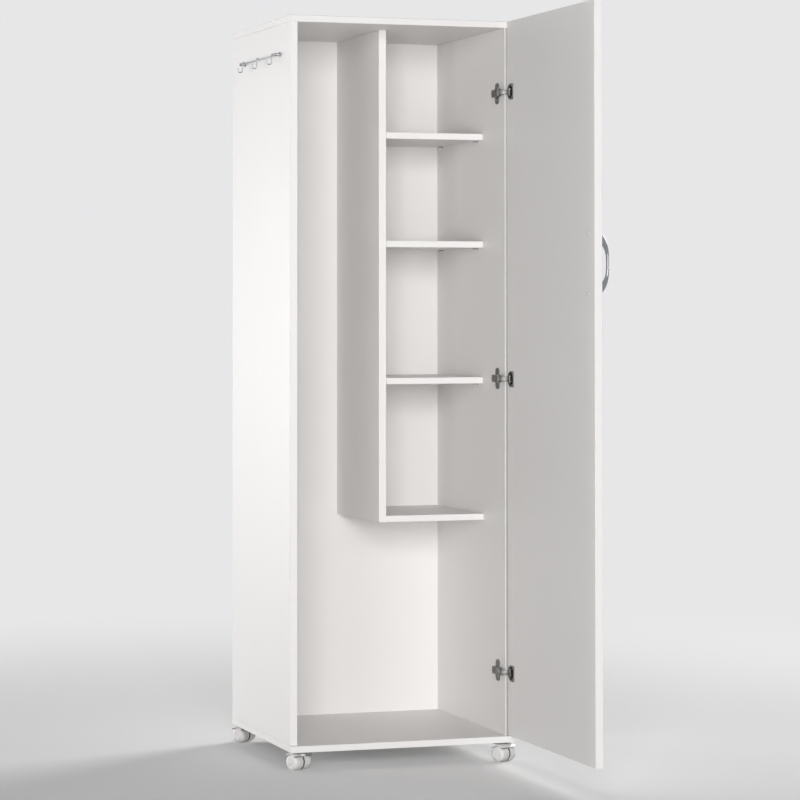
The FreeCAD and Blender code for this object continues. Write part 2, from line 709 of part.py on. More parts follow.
def pan_screw(label, shank, head, length):
    """A screw whose flat head stands on the surface, with its point along -Z."""
    body = new_body(label)
    rise = head * 0.3
    outline = [
        (0, -length),
        (shank / 2, shank / 2 - length),
        (shank / 2, 0),
        (head / 2, 0),
        (head / 2, rise * 0.5),
        (head * 0.36, rise),
        (0, rise),
    ]
    turned(body, outline)
    sketch = new_sketch(body, "XY_Plane", rise)
    draw_cross(sketch, head * 0.55, head * 0.14)
    cut(body, sketch, rise * 0.6)
    return body


# Countersunk wood screw, its head flush with the sheet metal that it holds
flush_screw = new_body("flush_screw")
flush_radius, flush_shank = wood_screw_head / 2 - fit_play, wood_screw / 2
turned(
    flush_screw,
    [
        (0, 0),
        (flush_radius, 0),
        (flush_shank, flush_shank - flush_radius),
        (flush_shank, flush_shank - wood_screw_length),
        (0, -wood_screw_length),
    ],
)
flush_sketch = new_sketch(flush_screw, "XY_Plane")
draw_cross(flush_sketch, wood_screw_head * 0.55, wood_screw_head * 0.14)
cut(flush_screw, flush_sketch, wood_screw_head * 0.15)
countersink = wood_screw_head / 2 - wood_screw / 2 - fit_play


def is_ring_at(edge, radius, axis, level):
    """Whether an edge is a full circle of this radius whose middle lies at this level."""
    curve = edge.Curve
    if not hasattr(curve, "Radius") or len(edge.Vertexes) != 1:
        return False
    close = abs(curve.Radius - radius) < 1e-4
    return close and abs(getattr(curve.Center, axis) - level) < 1e-4


# ---------------------------------------------------------------- cup hinges

# Mounting plate: wings screwed to the side, and a raised block that the arm sits on.
# Its own axes: X to the rear from the front edge of the side, Y away from the side, Z up.
mounting_plate = new_body("mounting_plate")
wing_sketch = new_sketch(mounting_plate, "XZ_Plane")
half_wing = plate_wing_width / 2
draw_box(
    wing_sketch, plate_middle - half_wing, -plate_wing / 2, plate_middle + half_wing, plate_wing / 2
)
pad(mounting_plate, wing_sketch, plate_thick, backwards=True)
soften(
    mounting_plate,
    "Fillet",
    half_wing * 0.8,
    lambda edge: abs(edge.tangentAt(edge.FirstParameter).y) > 0.99,
)
block_sketch = new_sketch(mounting_plate, "XZ_Plane")
half_block = arm_width / 2 - sheet_metal - fit_play * 8
block_start = plate_middle - plate_block_length / 2
block_end = plate_middle + plate_block_length / 2
draw_box(block_sketch, block_start, -half_block, block_end, half_block)
pad(mounting_plate, block_sketch, plate_block, backwards=True)
soften(
    mounting_plate,
    "Chamfer",
    eased,
    lambda edge: edge.BoundBox.YMin > plate_block.number - 0.01,
)
plate_bore_sketch = new_sketch(mounting_plate, "XZ_Plane", -plate_thick)
for sign in (-1, 1):
    draw_circle(plate_bore_sketch, plate_middle, plate_pitch / 2 * sign, small_bore)
cut(mounting_plate, plate_bore_sketch, plate_thick, backwards=True)
soften(
    mounting_plate,
    "Chamfer",
    countersink,
    lambda edge: is_ring_at(edge, small_bore.number / 2, "y", plate_thick.number),
)
adjust_bore_sketch = new_sketch(mounting_plate, "XZ_Plane", -plate_block)
adjust_bore = adjust_shank + fit_play * 2
adjust_xs = [plate_middle - adjust_pitch / 2, plate_middle + adjust_pitch / 2]
for x in adjust_xs:
    draw_circle(adjust_bore_sketch, x, 0, adjust_bore)
cut(mounting_plate, adjust_bore_sketch, plate_block - eased, backwards=True)
side_places = [(inner_right_x, front_y, z, FROM_SIDE) for z in hinge_heights]
nodes.append(group("hinge_plates", mounting_plate, side_places))

# Hinge arm: a channel of sheet metal, high at its front where the link is pinned, low over the plate
hinge_arm = new_body("hinge_arm")
nose_x = arm_pin_ahead - arm_nose
throat_y = arm_pin_rise - arm_nose
skirt_y = plate_thick + eased
knee_x, foot_x = nose_x + 15, nose_x + 25
arm_outline = [
    (nose_x, throat_y),
    (nose_x + 10, throat_y),
    (nose_x + 20, skirt_y),
    (arm_length, skirt_y),
    (arm_length, arm_low),
    (foot_x, arm_low),
    (knee_x, arm_high),
    (nose_x, arm_high),
]
arm_sketch = new_sketch(hinge_arm, "XY_Plane")
draw_loop(arm_sketch, arm_outline)
pad(hinge_arm, arm_sketch, arm_width, both_ways=True)
soften(
    hinge_arm,
    "Fillet",
    arm_nose * 0.9,
    lambda edge: edge.BoundBox.XMax < nose_x.number + 0.01 and edge.BoundBox.ZLength > 1,
)
inside_sketch = new_sketch(hinge_arm, "XY_Plane")
beyond = sheet_metal * 4
draw_loop(
    inside_sketch,
    [
        (nose_x - beyond, -beyond),
        (arm_length + beyond, -beyond),
        (arm_length + beyond, arm_low - sheet_metal),
        (foot_x - sheet_metal / 2, arm_low - sheet_metal),
        (knee_x - sheet_metal / 2, arm_high - sheet_metal),
        (nose_x - beyond, arm_high - sheet_metal),
    ],
)
cut(hinge_arm, inside_sketch, arm_width - sheet_metal * 2, both_ways=True)
eye_bore = hinge_pin + pin_play * 2
arm_pin_sketch = new_sketch(hinge_arm, "XY_Plane")
draw_circle(arm_pin_sketch, arm_pin_ahead, arm_pin_rise, eye_bore)
cut(hinge_arm, arm_pin_sketch, arm_width * 2, both_ways=True)
arm_bore_sketch = new_sketch(hinge_arm, "XZ_Plane", -arm_low)
for x in adjust_xs:
    draw_circle(arm_bore_sketch, x, 0, adjust_bore)
cut(hinge_arm, arm_bore_sketch, sheet_metal * 2, backwards=True)
nodes.append(group("hinge_arms", hinge_arm, side_places))

plate_screw_places = [
    (inner_right_x - plate_thick, front_y + plate_middle, z + plate_pitch / 2 * sign, POINT_LEFT)
    for z in hinge_heights
    for sign in (-1, 1)
]
nodes.append(group("hinge_plate_screws", flush_screw, plate_screw_places))
adjust_length = arm_low - plate_thick * 0.5
adjust_screw = pan_screw("adjusting_screw", adjust_shank, adjust_head, adjust_length)
adjust_places = [
    (inner_right_x - arm_low, front_y + x, z, POINT_LEFT) for z in hinge_heights for x in adjust_xs
]
nodes.append(group("hinge_adjusting_screws", adjust_screw, adjust_places))


def pin_body(label, diameter, length):
    body = new_body(label)
    rim = diameter * 0.1
    outline = [
        (0, -length / 2),
        (diameter / 2 - rim, -length / 2),
        (diameter / 2, rim - length / 2),
        (diameter / 2, length / 2 - rim),
        (diameter / 2 - rim, length / 2),
        (0, length / 2),
    ]
    turned(body, outline)
    return body


arm_pin = pin_body("arm_pin", hinge_pin, arm_width + sheet_metal)
arm_pin_x, arm_pin_y = inner_right_x - arm_pin_rise, front_y + arm_pin_ahead
arm_pin_places = [(arm_pin_x, arm_pin_y, z, FLAT) for z in hinge_heights]
nodes.append(group("hinge_arm_pins", arm_pin, arm_pin_places))

# Hinge link: a bent strap with an eye at each end, from the pin of the arm to the pin of the cup
hinge_link = new_body("hinge_link")
cup_pin_ahead = -swing_gap - cup_pin_edge
cup_pin_rise = -door_offset - cup_pin_sink
span_x, span_y = cup_pin_ahead - arm_pin_ahead, cup_pin_rise - arm_pin_rise
span = (span_x * span_x + span_y * span_y).root()
sag = (link_bend * link_bend - span * span / 4).root()
bend_x = (arm_pin_ahead + cup_pin_ahead) / 2 - span_y / span * sag
bend_y = (arm_pin_rise + cup_pin_rise) / 2 + span_x / span * sag


def angle_from_bend(x, y):
    return math.degrees(math.atan2(y.number - bend_y.number, x.number - bend_x.number)) % 360


strap_sketch = new_sketch(hinge_link, "XY_Plane")
first = angle_from_bend(arm_pin_ahead, arm_pin_rise)
last = angle_from_bend(cup_pin_ahead, cup_pin_rise)
arcs = []
for radius in (link_bend + link_thick / 2, link_bend - link_thick / 2):
    arc = add_arc(strap_sketch, bend_x, bend_y, radius, first, last)
    fix_point(strap_sketch, arc, 3, bend_x, bend_y)
    set_radius(strap_sketch, arc, radius)
    arcs.append(arc)
outer, inner = arcs
for end, pin in ((1, (arm_pin_ahead, arm_pin_rise)), (2, (cup_pin_ahead, cup_pin_rise))):
    ends = [strap_sketch.getPoint(arc, end) for arc in (outer, inner)]
    line = strap_sketch.addGeometry(Part.LineSegment(ends[0], ends[1]))
    mark = strap_sketch.addGeometry(Part.Point(Vector(pin[0].number, pin[1].number)), True)
    fix_point(strap_sketch, mark, 1, *pin)
    join(strap_sketch, line, 1, outer, end)
    join(strap_sketch, line, 2, inner, end)
    strap_sketch.addConstraint(Sketcher.Constraint("PointOnObject", mark, 1, line))
    strap_sketch.addConstraint(Sketcher.Constraint("PointOnObject", outer, 3, line))
pad(hinge_link, strap_sketch, link_width, both_ways=True)
eye_sketch = new_sketch(hinge_link, "XY_Plane")
draw_circle(eye_sketch, arm_pin_ahead, arm_pin_rise, eye_width)
draw_circle(eye_sketch, cup_pin_ahead, cup_pin_rise, eye_width)
pad(hinge_link, eye_sketch, link_width, both_ways=True)
eye_bore_sketch = new_sketch(hinge_link, "XY_Plane")
draw_circle(eye_bore_sketch, arm_pin_ahead, arm_pin_rise, eye_bore)
draw_circle(eye_bore_sketch, cup_pin_ahead, cup_pin_rise, eye_bore)
cut(hinge_link, eye_bore_sketch, link_width * 2, both_ways=True)
nodes.append(group("hinge_links", hinge_link, side_places))

# Hinge cup. Its own axes: X from the hinge edge into the door, Y up, Z out of the inner face.
hinge_cup = new_body("hinge_cup")
barrel_sketch = new_sketch(hinge_cup, "XY_Plane")
draw_circle(barrel_sketch, 0, 0, cup_width)
pad(hinge_cup, barrel_sketch, cup_depth, backwards=True)
rim_sketch = new_sketch(hinge_cup, "XY_Plane")
draw_circle(rim_sketch, 0, 0, cup_rim)
pad(hinge_cup, rim_sketch, flange_thick)
flange_sketch = new_sketch(hinge_cup, "XY_Plane")
half_flange = cup_screw_pitch / 2 + flange_margin
draw_box(flange_sketch, -flange_near, -half_flange, flange_far, half_flange)
pad(hinge_cup, flange_sketch, flange_thick)
soften(
    hinge_cup,
    "Fillet",
    flange_margin * 0.8,
    lambda edge: edge.BoundBox.ZLength > 0.5 and edge.BoundBox.XMin > flange_far.number - 0.01,
)
hollow_sketch = new_sketch(hinge_cup, "XY_Plane", flange_thick)
draw_circle(hollow_sketch, 0, 0, cup_width - cup_wall * 2)
cut(hinge_cup, hollow_sketch, flange_thick + cup_depth - cup_wall)
cup_pin_x = cup_pin_edge - cup_edge
cheek_inner = link_width / 2 + fit_play * 8
cheek_outer = cheek_inner + sheet_metal * 2
cheek_sketch = new_sketch(hinge_cup, "XY_Plane", cup_wall - cup_depth)
for sign in (-1, 1):
    half_eye = eye_width / 2
    draw_box(
        cheek_sketch,
        cup_pin_x - half_eye,
        (cheek_inner if sign > 0 else -cheek_outer),
        cup_pin_x + half_eye,
        (cheek_outer if sign > 0 else -cheek_inner),
    )
pad(hinge_cup, cheek_sketch, cup_depth - cup_wall - cup_pin_sink + eye_width / 2)
cup_pin_sketch = new_sketch(hinge_cup, "XZ_Plane")
draw_circle(cup_pin_sketch, cup_pin_x, -cup_pin_sink, eye_bore)
cut(hinge_cup, cup_pin_sketch, cheek_outer * 2 + fit_play * 4, both_ways=True)
flange_bore_sketch = new_sketch(hinge_cup, "XY_Plane", flange_thick)
cup_screw_shift = flange_far - flange_margin
cup_screw_rises = [-(cup_screw_pitch / 2), cup_screw_pitch / 2]
for rise in cup_screw_rises:
    draw_circle(flange_bore_sketch, cup_screw_shift, rise, small_bore)
cut(hinge_cup, flange_bore_sketch, flange_thick)
cup_y = door_hinge_y - cup_edge
cup_places = [(door_x, cup_y, z, FROM_DOOR) for z in hinge_heights]
nodes.append(group("hinge_cups", hinge_cup, cup_places))
cup_pin = pin_body("cup_pin", hinge_pin, cheek_outer * 2)
cup_pin_places = [
    (inner_right_x - cup_pin_rise, front_y + cup_pin_ahead, z, FLAT) for z in hinge_heights
]
nodes.append(group("hinge_cup_pins", cup_pin, cup_pin_places))
cup_screw = pan_screw("cup_screw", wood_screw, wood_screw_head, wood_screw_length)
cup_screw_y = cup_y - cup_screw_shift
cup_screw_places = [
    (door_x - flange_thick, cup_screw_y, z + rise, POINT_LEFT)
    for z in hinge_heights
    for rise in cup_screw_rises
]
nodes.append(group("hinge_cup_screws", cup_screw, cup_screw_places))

# ---------------------------------------------------------------- door and handle

# The open door. Its own axes: X from the free edge back to the hinge edge, Y up, Z outwards.
door_size = (door_width, door_height, board)
door_free_y = door_hinge_y - door_width
door_panel = board_part("door_panel", door_size, door_x, door_free_y, door_bottom_z, SIDEWAYS)
cup_bores = [(door_width - cup_edge, z - door_bottom_z) for z in hinge_heights]
bore(door_panel, door_size, "lower", cup_bores, cup_width + fit_play * 2, cup_depth + eased)
cup_screw_bores = [
    (door_width - cup_edge - cup_screw_shift, z + rise - door_bottom_z)
    for z in hinge_heights
    for rise in cup_screw_rises
]
cup_screw_bite = wood_screw_length - flange_thick + dowel_end_play
bore(door_panel, door_size, "lower", cup_screw_bores, small_bore, cup_screw_bite)
handle_zs = [handle_height - handle_pitch / 2, handle_height + handle_pitch / 2]
handle_bores = [(handle_edge, z - door_bottom_z) for z in handle_zs]
handle_bore = handle_screw + fit_play * 2
bore(door_panel, door_size, "lower", handle_bores, handle_bore, board)
nodes.append(door_panel)

# Bow handle. Its own axes: X up the door, Y away from it, Z to the rear.
handle = new_body("handle")


def draw_bow(sketch, length, rise, joints):
    """An arc over the door face between two fixed points, this high at its middle."""
    half = length / 2
    radius = (half * half + rise * rise) / (rise * 2)
    drop = rise - radius
    start = math.degrees(math.atan2(-drop.number, half.number))
    index = add_arc(sketch, 0, drop, radius, start, 180 - start)
    for end, (line, line_end) in zip((1, 2), joints):
        join(sketch, index, end, line, line_end)
    set_radius(sketch, index, radius)


bow_sketch = new_sketch(handle, "XY_Plane")
half_long, half_open = handle_length / 2, handle_opening / 2
feet = []
for sign in (1, -1):
    near, far = half_open * sign, half_long * sign
    foot = bow_sketch.addGeometry(Part.LineSegment(Vector(near.number, 0), Vector(far.number, 0)))
    fix_point(bow_sketch, foot, 1, near, 0)
    fix_point(bow_sketch, foot, 2, far, 0)
    feet.append(foot)
draw_bow(bow_sketch, handle_length, handle_reach, [(feet[0], 2), (feet[1], 2)])
draw_bow(bow_sketch, handle_opening, handle_clear, [(feet[0], 1), (feet[1], 1)])
pad(handle, bow_sketch, handle_width, both_ways=True)
soften(
    handle,
    "Fillet",
    handle_width / 5,
    lambda edge: hasattr(edge.Curve, "Radius"),
)
foot_sketch = new_sketch(handle, "XZ_Plane")
for sign in (-1, 1):
    draw_circle(foot_sketch, handle_pitch / 2 * sign, 0, handle_bore)
cut(handle, foot_sketch, handle_bite + dowel_end_play)
handle_y = door_free_y + handle_edge
place(handle, door_x + board, handle_y, handle_height, ALONG_DOOR)
nodes.append(handle)
handle_bolt = pan_screw("handle_bolt", handle_screw, handle_screw * 2, board + handle_bite)
nodes.append(group("handle_screws", handle_bolt, [(door_x, handle_y, z, POINT_LEFT) for z in handle_zs]))

# ---------------------------------------------------------------- hook rail on the left side

rail = new_body("hook_rail")
half_rail = rail_width / 2
turned(
    rail,
    [
        (0, 0),
        (half_rail - eased, 0),
        (half_rail, eased),
        (half_rail, rail_length - eased),
        (half_rail - eased, rail_length),
        (0, rail_length),
    ],
)
rail_x = left_x - rail_reach
place(rail, rail_x, front_y + rail_start, rail_z, POINT_BACK)
nodes.append(rail)

# Rail post: a foot against the side and a stem that the rail passes through
post = new_body("rail_post")
half_post = post_width / 2
turned(
    post,
    [
        (0, 0),
        (post_foot / 2, 0),
        (post_foot / 2, plate_thick),
        (half_post, plate_thick + eased),
        (half_post, rail_reach + half_post - eased),
        (half_post - eased, rail_reach + half_post),
        (0, rail_reach + half_post),
    ],
)
post_eye_sketch = new_sketch(post, "XZ_Plane")
draw_circle(post_eye_sketch, 0, rail_reach, rail_width + fit_play * 2)
cut(post, post_eye_sketch, post_foot, both_ways=True)
post_screw_bite = rail_reach - half_rail - eased * 3
post_bore_sketch = new_sketch(post, "XY_Plane")
draw_circle(post_bore_sketch, 0, 0, post_bore)
cut(post, post_bore_sketch, post_screw_bite + eased, backwards=True)
nodes.append(group("rail_posts", post, [(left_x, front_y + y, rail_z, POINT_LEFT) for y in post_ys]))
post_screw = pan_screw("post_screw", wood_screw, wood_screw_head, board + post_screw_bite)
post_screw_places = [(inner_left_x, front_y + y, rail_z, POINT_RIGHT) for y in post_ys]
nodes.append(group("rail_screws", post_screw, post_screw_places))

# Hook: one bent wire, curled over the rail and turned up at its tip.
# Its own axes: X away from the side, Y up, Z to the rear; the rail is at its origin.
hook = new_body("rail_hook")
curl = half_rail + hook_play + hook_wire / 2
tip_x = curl + hook_bend * 2
hook_curl = 200
wire_sketch = new_sketch(hook, "XY_Plane")
over = add_arc(wire_sketch, 0, 0, curl, 0, hook_curl)
straight = wire_sketch.addGeometry(
    Part.LineSegment(Vector(curl.number, 0), Vector(curl.number, -hook_drop.number))
)
bend = add_arc(wire_sketch, curl + hook_bend, -hook_drop, hook_bend, 180, 360)
tip = wire_sketch.addGeometry(
    Part.LineSegment(
        Vector(tip_x.number, -hook_drop.number),
        Vector(tip_x.number, hook_tip.number - hook_drop.number),
    )
)
fix_point(wire_sketch, over, 3, 0, 0)
fix_point(wire_sketch, straight, 1, curl, 0)
fix_point(wire_sketch, straight, 2, curl, -hook_drop)
fix_point(wire_sketch, tip, 1, tip_x, -hook_drop)
fix_point(wire_sketch, tip, 2, tip_x, hook_tip - hook_drop)
join(wire_sketch, over, 1, straight, 1)
join(wire_sketch, bend, 1, straight, 2)
join(wire_sketch, bend, 2, tip, 1)
for arc, end, y in (
    (over, 2, curl * math.sin(math.radians(hook_curl))),
    (bend, 3, -hook_drop),
):
    number = wire_sketch.addConstraint(Sketcher.Constraint("DistanceY", arc, end, y.number))
    bind(wire_sketch, f"Constraints[{number}]", y)
wire_end_sketch = new_sketch(hook, "XZ_Plane", hook_drop - hook_tip)
draw_circle(wire_end_sketch, tip_x, 0, hook_wire)
doc.recompute()
hook_pipe = hook.newObject("PartDesign::AdditivePipe", "hook_pipe")
hook_pipe.Profile = wire_end_sketch
hook_pipe.Spine = (wire_sketch, [])
hook_pipe.Mode = "Standard"
checked(hook, 0, True)
rail_middle_y = front_y + rail_start + rail_length / 2
for step, name in enumerate(("rail_hook_front", "rail_hook_middle", "rail_hook_rear")):
    hook_y = rail_middle_y + hook_pitch * (step - 1)
    nodes.append(copy_part(name, hook, rail_x, hook_y, rail_z, OFF_LEFT_SIDE))

# ---------------------------------------------------------------- casters

# The master parts of one caster, with the swivel axis and the underside of the base as origin.
# Their own axes: X along the axle, Y towards the axle, Z up.
mounting = new_body("caster_mounting")
mounting_sketch = new_sketch(mounting, "XY_Plane")
half_plate = mount_plate / 2
draw_box(mounting_sketch, -half_plate, -half_plate, half_plate, half_plate)
pad(mounting, mounting_sketch, mount_plate_thick, backwards=True)
soften(mounting, "Fillet", half_plate / 4, lambda edge: edge.BoundBox.ZLength > 1)
kingpin_sketch = new_sketch(mounting, "XY_Plane", -mount_plate_thick)
draw_circle(kingpin_sketch, 0, 0, kingpin)
pad(mounting, kingpin_sketch, kingpin_length, backwards=True)
mounting_bore_sketch = new_sketch(mounting, "XY_Plane")
for sx, sy in corner_steps:
    draw_circle(mounting_bore_sketch, half_pitch * sx, half_pitch * sy, small_bore)
cut(mounting, mounting_bore_sketch, mount_plate_thick)
soften(
    mounting,
    "Chamfer",
    countersink,
    lambda edge: is_ring_at(edge, small_bore.number / 2, "z", -mount_plate_thick.number),
)

hood = new_body("caster_hood")
axle_z = wheel_radius - caster_height
hood_inner = wheel_radius + hood_gap
hood_outer = hood_inner + hood_thick
hood_width = web_thick + (wheel_thick + hood_gap) * 2
hood_lower_z = axle_z + hood_outer * 0.62
hood_top_z = -mount_plate_thick - swivel_gap
boss_depth = kingpin_length + hood_thick
shell_sketch = new_sketch(hood, "YZ_Plane")
draw_circle(shell_sketch, trail, axle_z, hood_outer * 2)
pad(hood, shell_sketch, hood_width, both_ways=True)
below_sketch = new_sketch(hood, "YZ_Plane")
below_z = axle_z - hood_outer * 1.5
draw_box(below_sketch, trail - hood_outer * 2, below_z, trail + hood_outer * 2, hood_lower_z)
cut(hood, below_sketch, hood_width * 2, both_ways=True)
boss_sketch = new_sketch(hood, "XY_Plane", hood_top_z)
draw_circle(boss_sketch, 0, 0, boss_width)
pad(hood, boss_sketch, boss_depth, backwards=True)
for lift, backwards in ((web_thick / 2, True), (-(web_thick / 2), False)):
    room_sketch = new_sketch(hood, "YZ_Plane", lift)
    draw_circle(room_sketch, trail, axle_z, hood_inner * 2)
    cut(hood, room_sketch, hood_width, backwards=backwards)
web_sketch = new_sketch(hood, "YZ_Plane")
web_round = hood_inner * 0.62
draw_loop(
    web_sketch,
    [
        (0, hood_top_z - boss_depth * 0.7),
        (trail - web_round * 0.5, hood_lower_z + eased),
        (trail + web_round, hood_lower_z + eased),
        (trail + web_round, axle_z),
        (trail + web_round * 0.6, axle_z - web_round * 0.7),
        (trail - web_round * 0.6, axle_z - web_round * 0.7),
        (0, hood_top_z - boss_depth),
    ],
)
pad(hood, web_sketch, web_thick, both_ways=True)
pivot_sketch = new_sketch(hood, "XY_Plane", hood_top_z)
draw_circle(pivot_sketch, 0, 0, kingpin + run_play * 2)
cut(hood, pivot_sketch, kingpin_length)
axle_bore_sketch = new_sketch(hood, "YZ_Plane")
draw_circle(axle_bore_sketch, trail, axle_z, axle_width + fit_play * 2)
cut(hood, axle_bore_sketch, hood_width, both_ways=True)

axle = pin_body("caster_axle", axle_width, web_thick + hood_gap * 2 + axle_bite * 2)

# Wheel: its inner face at the origin, its axis along Z, a shallow dish in the outer face
wheel = new_body("caster_wheel")
hub_bore = axle_width / 2 + run_play
dish_floor = wheel_thick - wheel_dish
wheel_bevel = wheel_rounding * (1 - math.sqrt(0.5))
turned(
    wheel,
    [
        (hub_bore, 0),
        (wheel_radius - eased, 0),
        (wheel_radius, eased),
        (wheel_radius, wheel_thick - wheel_rounding),
        (wheel_radius - wheel_bevel, wheel_thick - wheel_bevel),
        (wheel_radius - wheel_rounding, wheel_thick),
        (wheel_radius * 0.68, wheel_thick),
        (wheel_radius * 0.62, dish_floor),
        (wheel_radius * 0.28, dish_floor),
        (wheel_radius * 0.22, wheel_thick - eased),
        (0, wheel_thick - eased),
        (0, axle_bite + dowel_end_play),
        (hub_bore, axle_bite + dowel_end_play),
    ],
)

# Where each caster stands and how far its axle is turned from lying along X, in degrees
casters = {
    "front_left": (caster_xs[0], caster_ys[0], 26),
    "front_right": (caster_xs[1], caster_ys[0], 210),
    "rear_left": (caster_xs[0], caster_ys[1], 32),
    "rear_right": (caster_xs[1], caster_ys[1], 35),
}
wheel_x = web_thick / 2 + hood_gap / 2


for corner_name, (x, y, degrees) in casters.items():
    prefix = f"caster_{corner_name}"
    turn = Rotation(Vector(0, 0, 1), degrees)
    side_turn = {"left": turn.multiply(POINT_LEFT), "right": turn.multiply(POINT_RIGHT)}
    cosine, sine = math.cos(math.radians(degrees)), math.sin(math.radians(degrees))
    axle_x, axle_y = x - trail * sine, y + trail * cosine
    height = caster_height + axle_z
    nodes.append(copy_part(f"{prefix}_plate", mounting, x, y, caster_height, FLAT))
    nodes.append(copy_part(f"{prefix}_hood", hood, x, y, caster_height, turn))
    nodes.append(copy_part(f"{prefix}_axle", axle, axle_x, axle_y, height, side_turn["right"]))
    for side, sign in (("left", -1), ("right", 1)):
        out_x, out_y = wheel_x * (sign * cosine), wheel_x * (sign * sine)
        wheel_place = (axle_x + out_x, axle_y + out_y, height, side_turn[side])
        nodes.append(copy_part(f"{prefix}_wheel_{side}", wheel, *wheel_place))
screw_z = caster_height - mount_plate_thick
caster_screw_places = [(x, y, screw_z, UPSIDE_DOWN) for x, y in caster_screw_xys]
nodes.append(group("caster_screws", flush_screw, caster_screw_places))

# ---------------------------------------------------------------- checks and files

doc.recompute()
for item in doc.Objects:
    if "Invalid" in item.State or "Error" in item.State:
        raise ValueError(f"{item.Label} did not build: {item.State}")
os.makedirs("parts", exist_ok=True)
for node in nodes:
    shape = Part.getShape(node)
    if shape.isNull() or not shape.isValid() or not shape.Solids:
        raise ValueError(f"{node.Label} has no sound solid")
    shape.exportStep(os.path.join("parts", f"{node.Label}.step"))
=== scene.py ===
import bpy
import json
import math
from mathutils import Matrix, Vector


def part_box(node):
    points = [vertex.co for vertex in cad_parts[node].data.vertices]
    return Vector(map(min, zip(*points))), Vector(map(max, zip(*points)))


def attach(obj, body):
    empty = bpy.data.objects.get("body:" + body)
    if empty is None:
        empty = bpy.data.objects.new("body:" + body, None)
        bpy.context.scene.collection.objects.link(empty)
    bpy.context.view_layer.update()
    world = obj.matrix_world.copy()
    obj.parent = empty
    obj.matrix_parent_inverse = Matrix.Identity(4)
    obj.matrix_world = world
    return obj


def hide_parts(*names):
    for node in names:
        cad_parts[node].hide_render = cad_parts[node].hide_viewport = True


# The broom cupboard in its finishes, on a pale floor in soft studio light. Metres, +Z up,
# -Y is the front and +X the side that carries the door.

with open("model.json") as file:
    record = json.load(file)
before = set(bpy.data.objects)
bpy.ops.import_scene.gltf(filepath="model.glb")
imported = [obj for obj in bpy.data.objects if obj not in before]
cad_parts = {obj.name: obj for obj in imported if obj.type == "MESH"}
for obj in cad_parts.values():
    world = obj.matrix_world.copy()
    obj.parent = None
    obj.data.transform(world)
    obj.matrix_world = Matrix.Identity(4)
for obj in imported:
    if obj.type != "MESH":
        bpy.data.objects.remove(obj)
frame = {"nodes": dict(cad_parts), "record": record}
nodes = frame["nodes"]
behaviour = frame["record"]["behaviour"]
body_of = {node: body for body, held in behaviour["bodies"].items() for node in held}
joints = {joint["name"]: joint for joint in behaviour["joints"]}
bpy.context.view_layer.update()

# ---------------------------------------------------------------- shader maths

# A Mix node's sockets for a mask and two colours, and its output for a colour, by number.
MIX_MASK, MIX_FIRST, MIX_SECOND, MIX_COLOUR = 0, 6, 7, 2


class Wire:
    """A shader socket that takes part in arithmetic."""

    def __init__(self, finish, socket):
        self.finish = finish
        self.socket = socket

    def math(self, operation, *values):
        """A Math node on these values."""
        return self.finish.node("ShaderNodeMath", {"operation": operation}, *values)

    def __add__(self, other):
        return self.math("ADD", self, other)

    def __sub__(self, other):
        return self.math("SUBTRACT", self, other)

    def __mul__(self, other):
        return self.math("MULTIPLY", self, other)

    def __radd__(self, other):
        return self.math("ADD", other, self)

    def __rsub__(self, other):
        return self.math("SUBTRACT", other, self)

    def __rmul__(self, other):
        return self.math("MULTIPLY", other, self)

    def low(self, other):
        """The lower of the two."""
        return self.math("MINIMUM", self, other)

    def high(self, other):
        """The higher of the two."""
        return self.math("MAXIMUM", self, other)

    def size(self):
        """Its value without its sign."""
        return self.math("ABSOLUTE", self)

    def root(self):
        """Its square root."""
        return self.math("SQRT", self)


class Finish:
    """A material in the making, with its shader and its object coordinates."""

    def __init__(self, name, **values):
        self.material = bpy.data.materials.new(name)
        self.material.use_nodes = True
        self.tree = self.material.node_tree
        self.shader = self.tree.nodes["Principled BSDF"]
        for key, value in values.items():
            self.shader.inputs[key.replace("_", " ")].default_value = value
        self.place = self.node("ShaderNodeTexCoord", {}, output="Object")

    def node(self, kind, settings, *values, output=0, sockets=None, **named):
        """A node of this type: its settings, then values or links by order, number or name."""
        node = self.tree.nodes.new(kind)
        for key, value in settings.items():
            setattr(node, key, value)
        for key, value in [*enumerate(values), *(sockets or {}).items(), *named.items()]:
            name = key.replace("_", " ") if isinstance(key, str) else key
            if isinstance(value, Wire):
                self.tree.links.new(value.socket, node.inputs[name])
            else:
                node.inputs[name].default_value = value
        return Wire(self, node.outputs[output])

    def set(self, name, wire):
        """Link a wire to this socket of the shader."""
        self.tree.links.new(wire.socket, self.shader.inputs[name])

    def axes(self):
        """The three object coordinates, as wires."""
        split = self.node("ShaderNodeSeparateXYZ", {}, self.place)
        outputs = split.socket.node.outputs
        return [Wire(self, outputs[i]) for i in range(3)]

    def stretched(self, *scales):
        """The object coordinates, scaled along each axis."""
        return self.node("ShaderNodeVectorMath", {"operation": "MULTIPLY"}, self.place, scales)

    def noise(self, place, scale, detail, roughness):
        """Noise of this scale, from about 0 to 1."""
        return self.node(
            "ShaderNodeTexNoise", {}, Vector=place, Scale=scale, Detail=detail, Roughness=roughness
        )

    def between(self, wire, low, high):
        """0 below low, 1 above high, smooth between them."""
        settings = {"interpolation_type": "SMOOTHSTEP"}
        return self.node("ShaderNodeMapRange", settings, wire, low, high, 0.0, 1.0)

    def blend(self, mask, first, second):
        """A colour between two, by a mask."""
        return self.node(
            "ShaderNodeMix", {"data_type": "RGBA"}, output=MIX_COLOUR,
            sockets={MIX_MASK: mask, MIX_FIRST: first, MIX_SECOND: second},
        )

    def bump(self, height, distance, strength):
        """Raise the surface by a height between 0 and 1, times this distance."""
        raised = self.node(
            "ShaderNodeBump", {}, Strength=strength, Distance=distance, Height=height
        )
        self.set("Normal", raised)


# ---------------------------------------------------------------- finishes

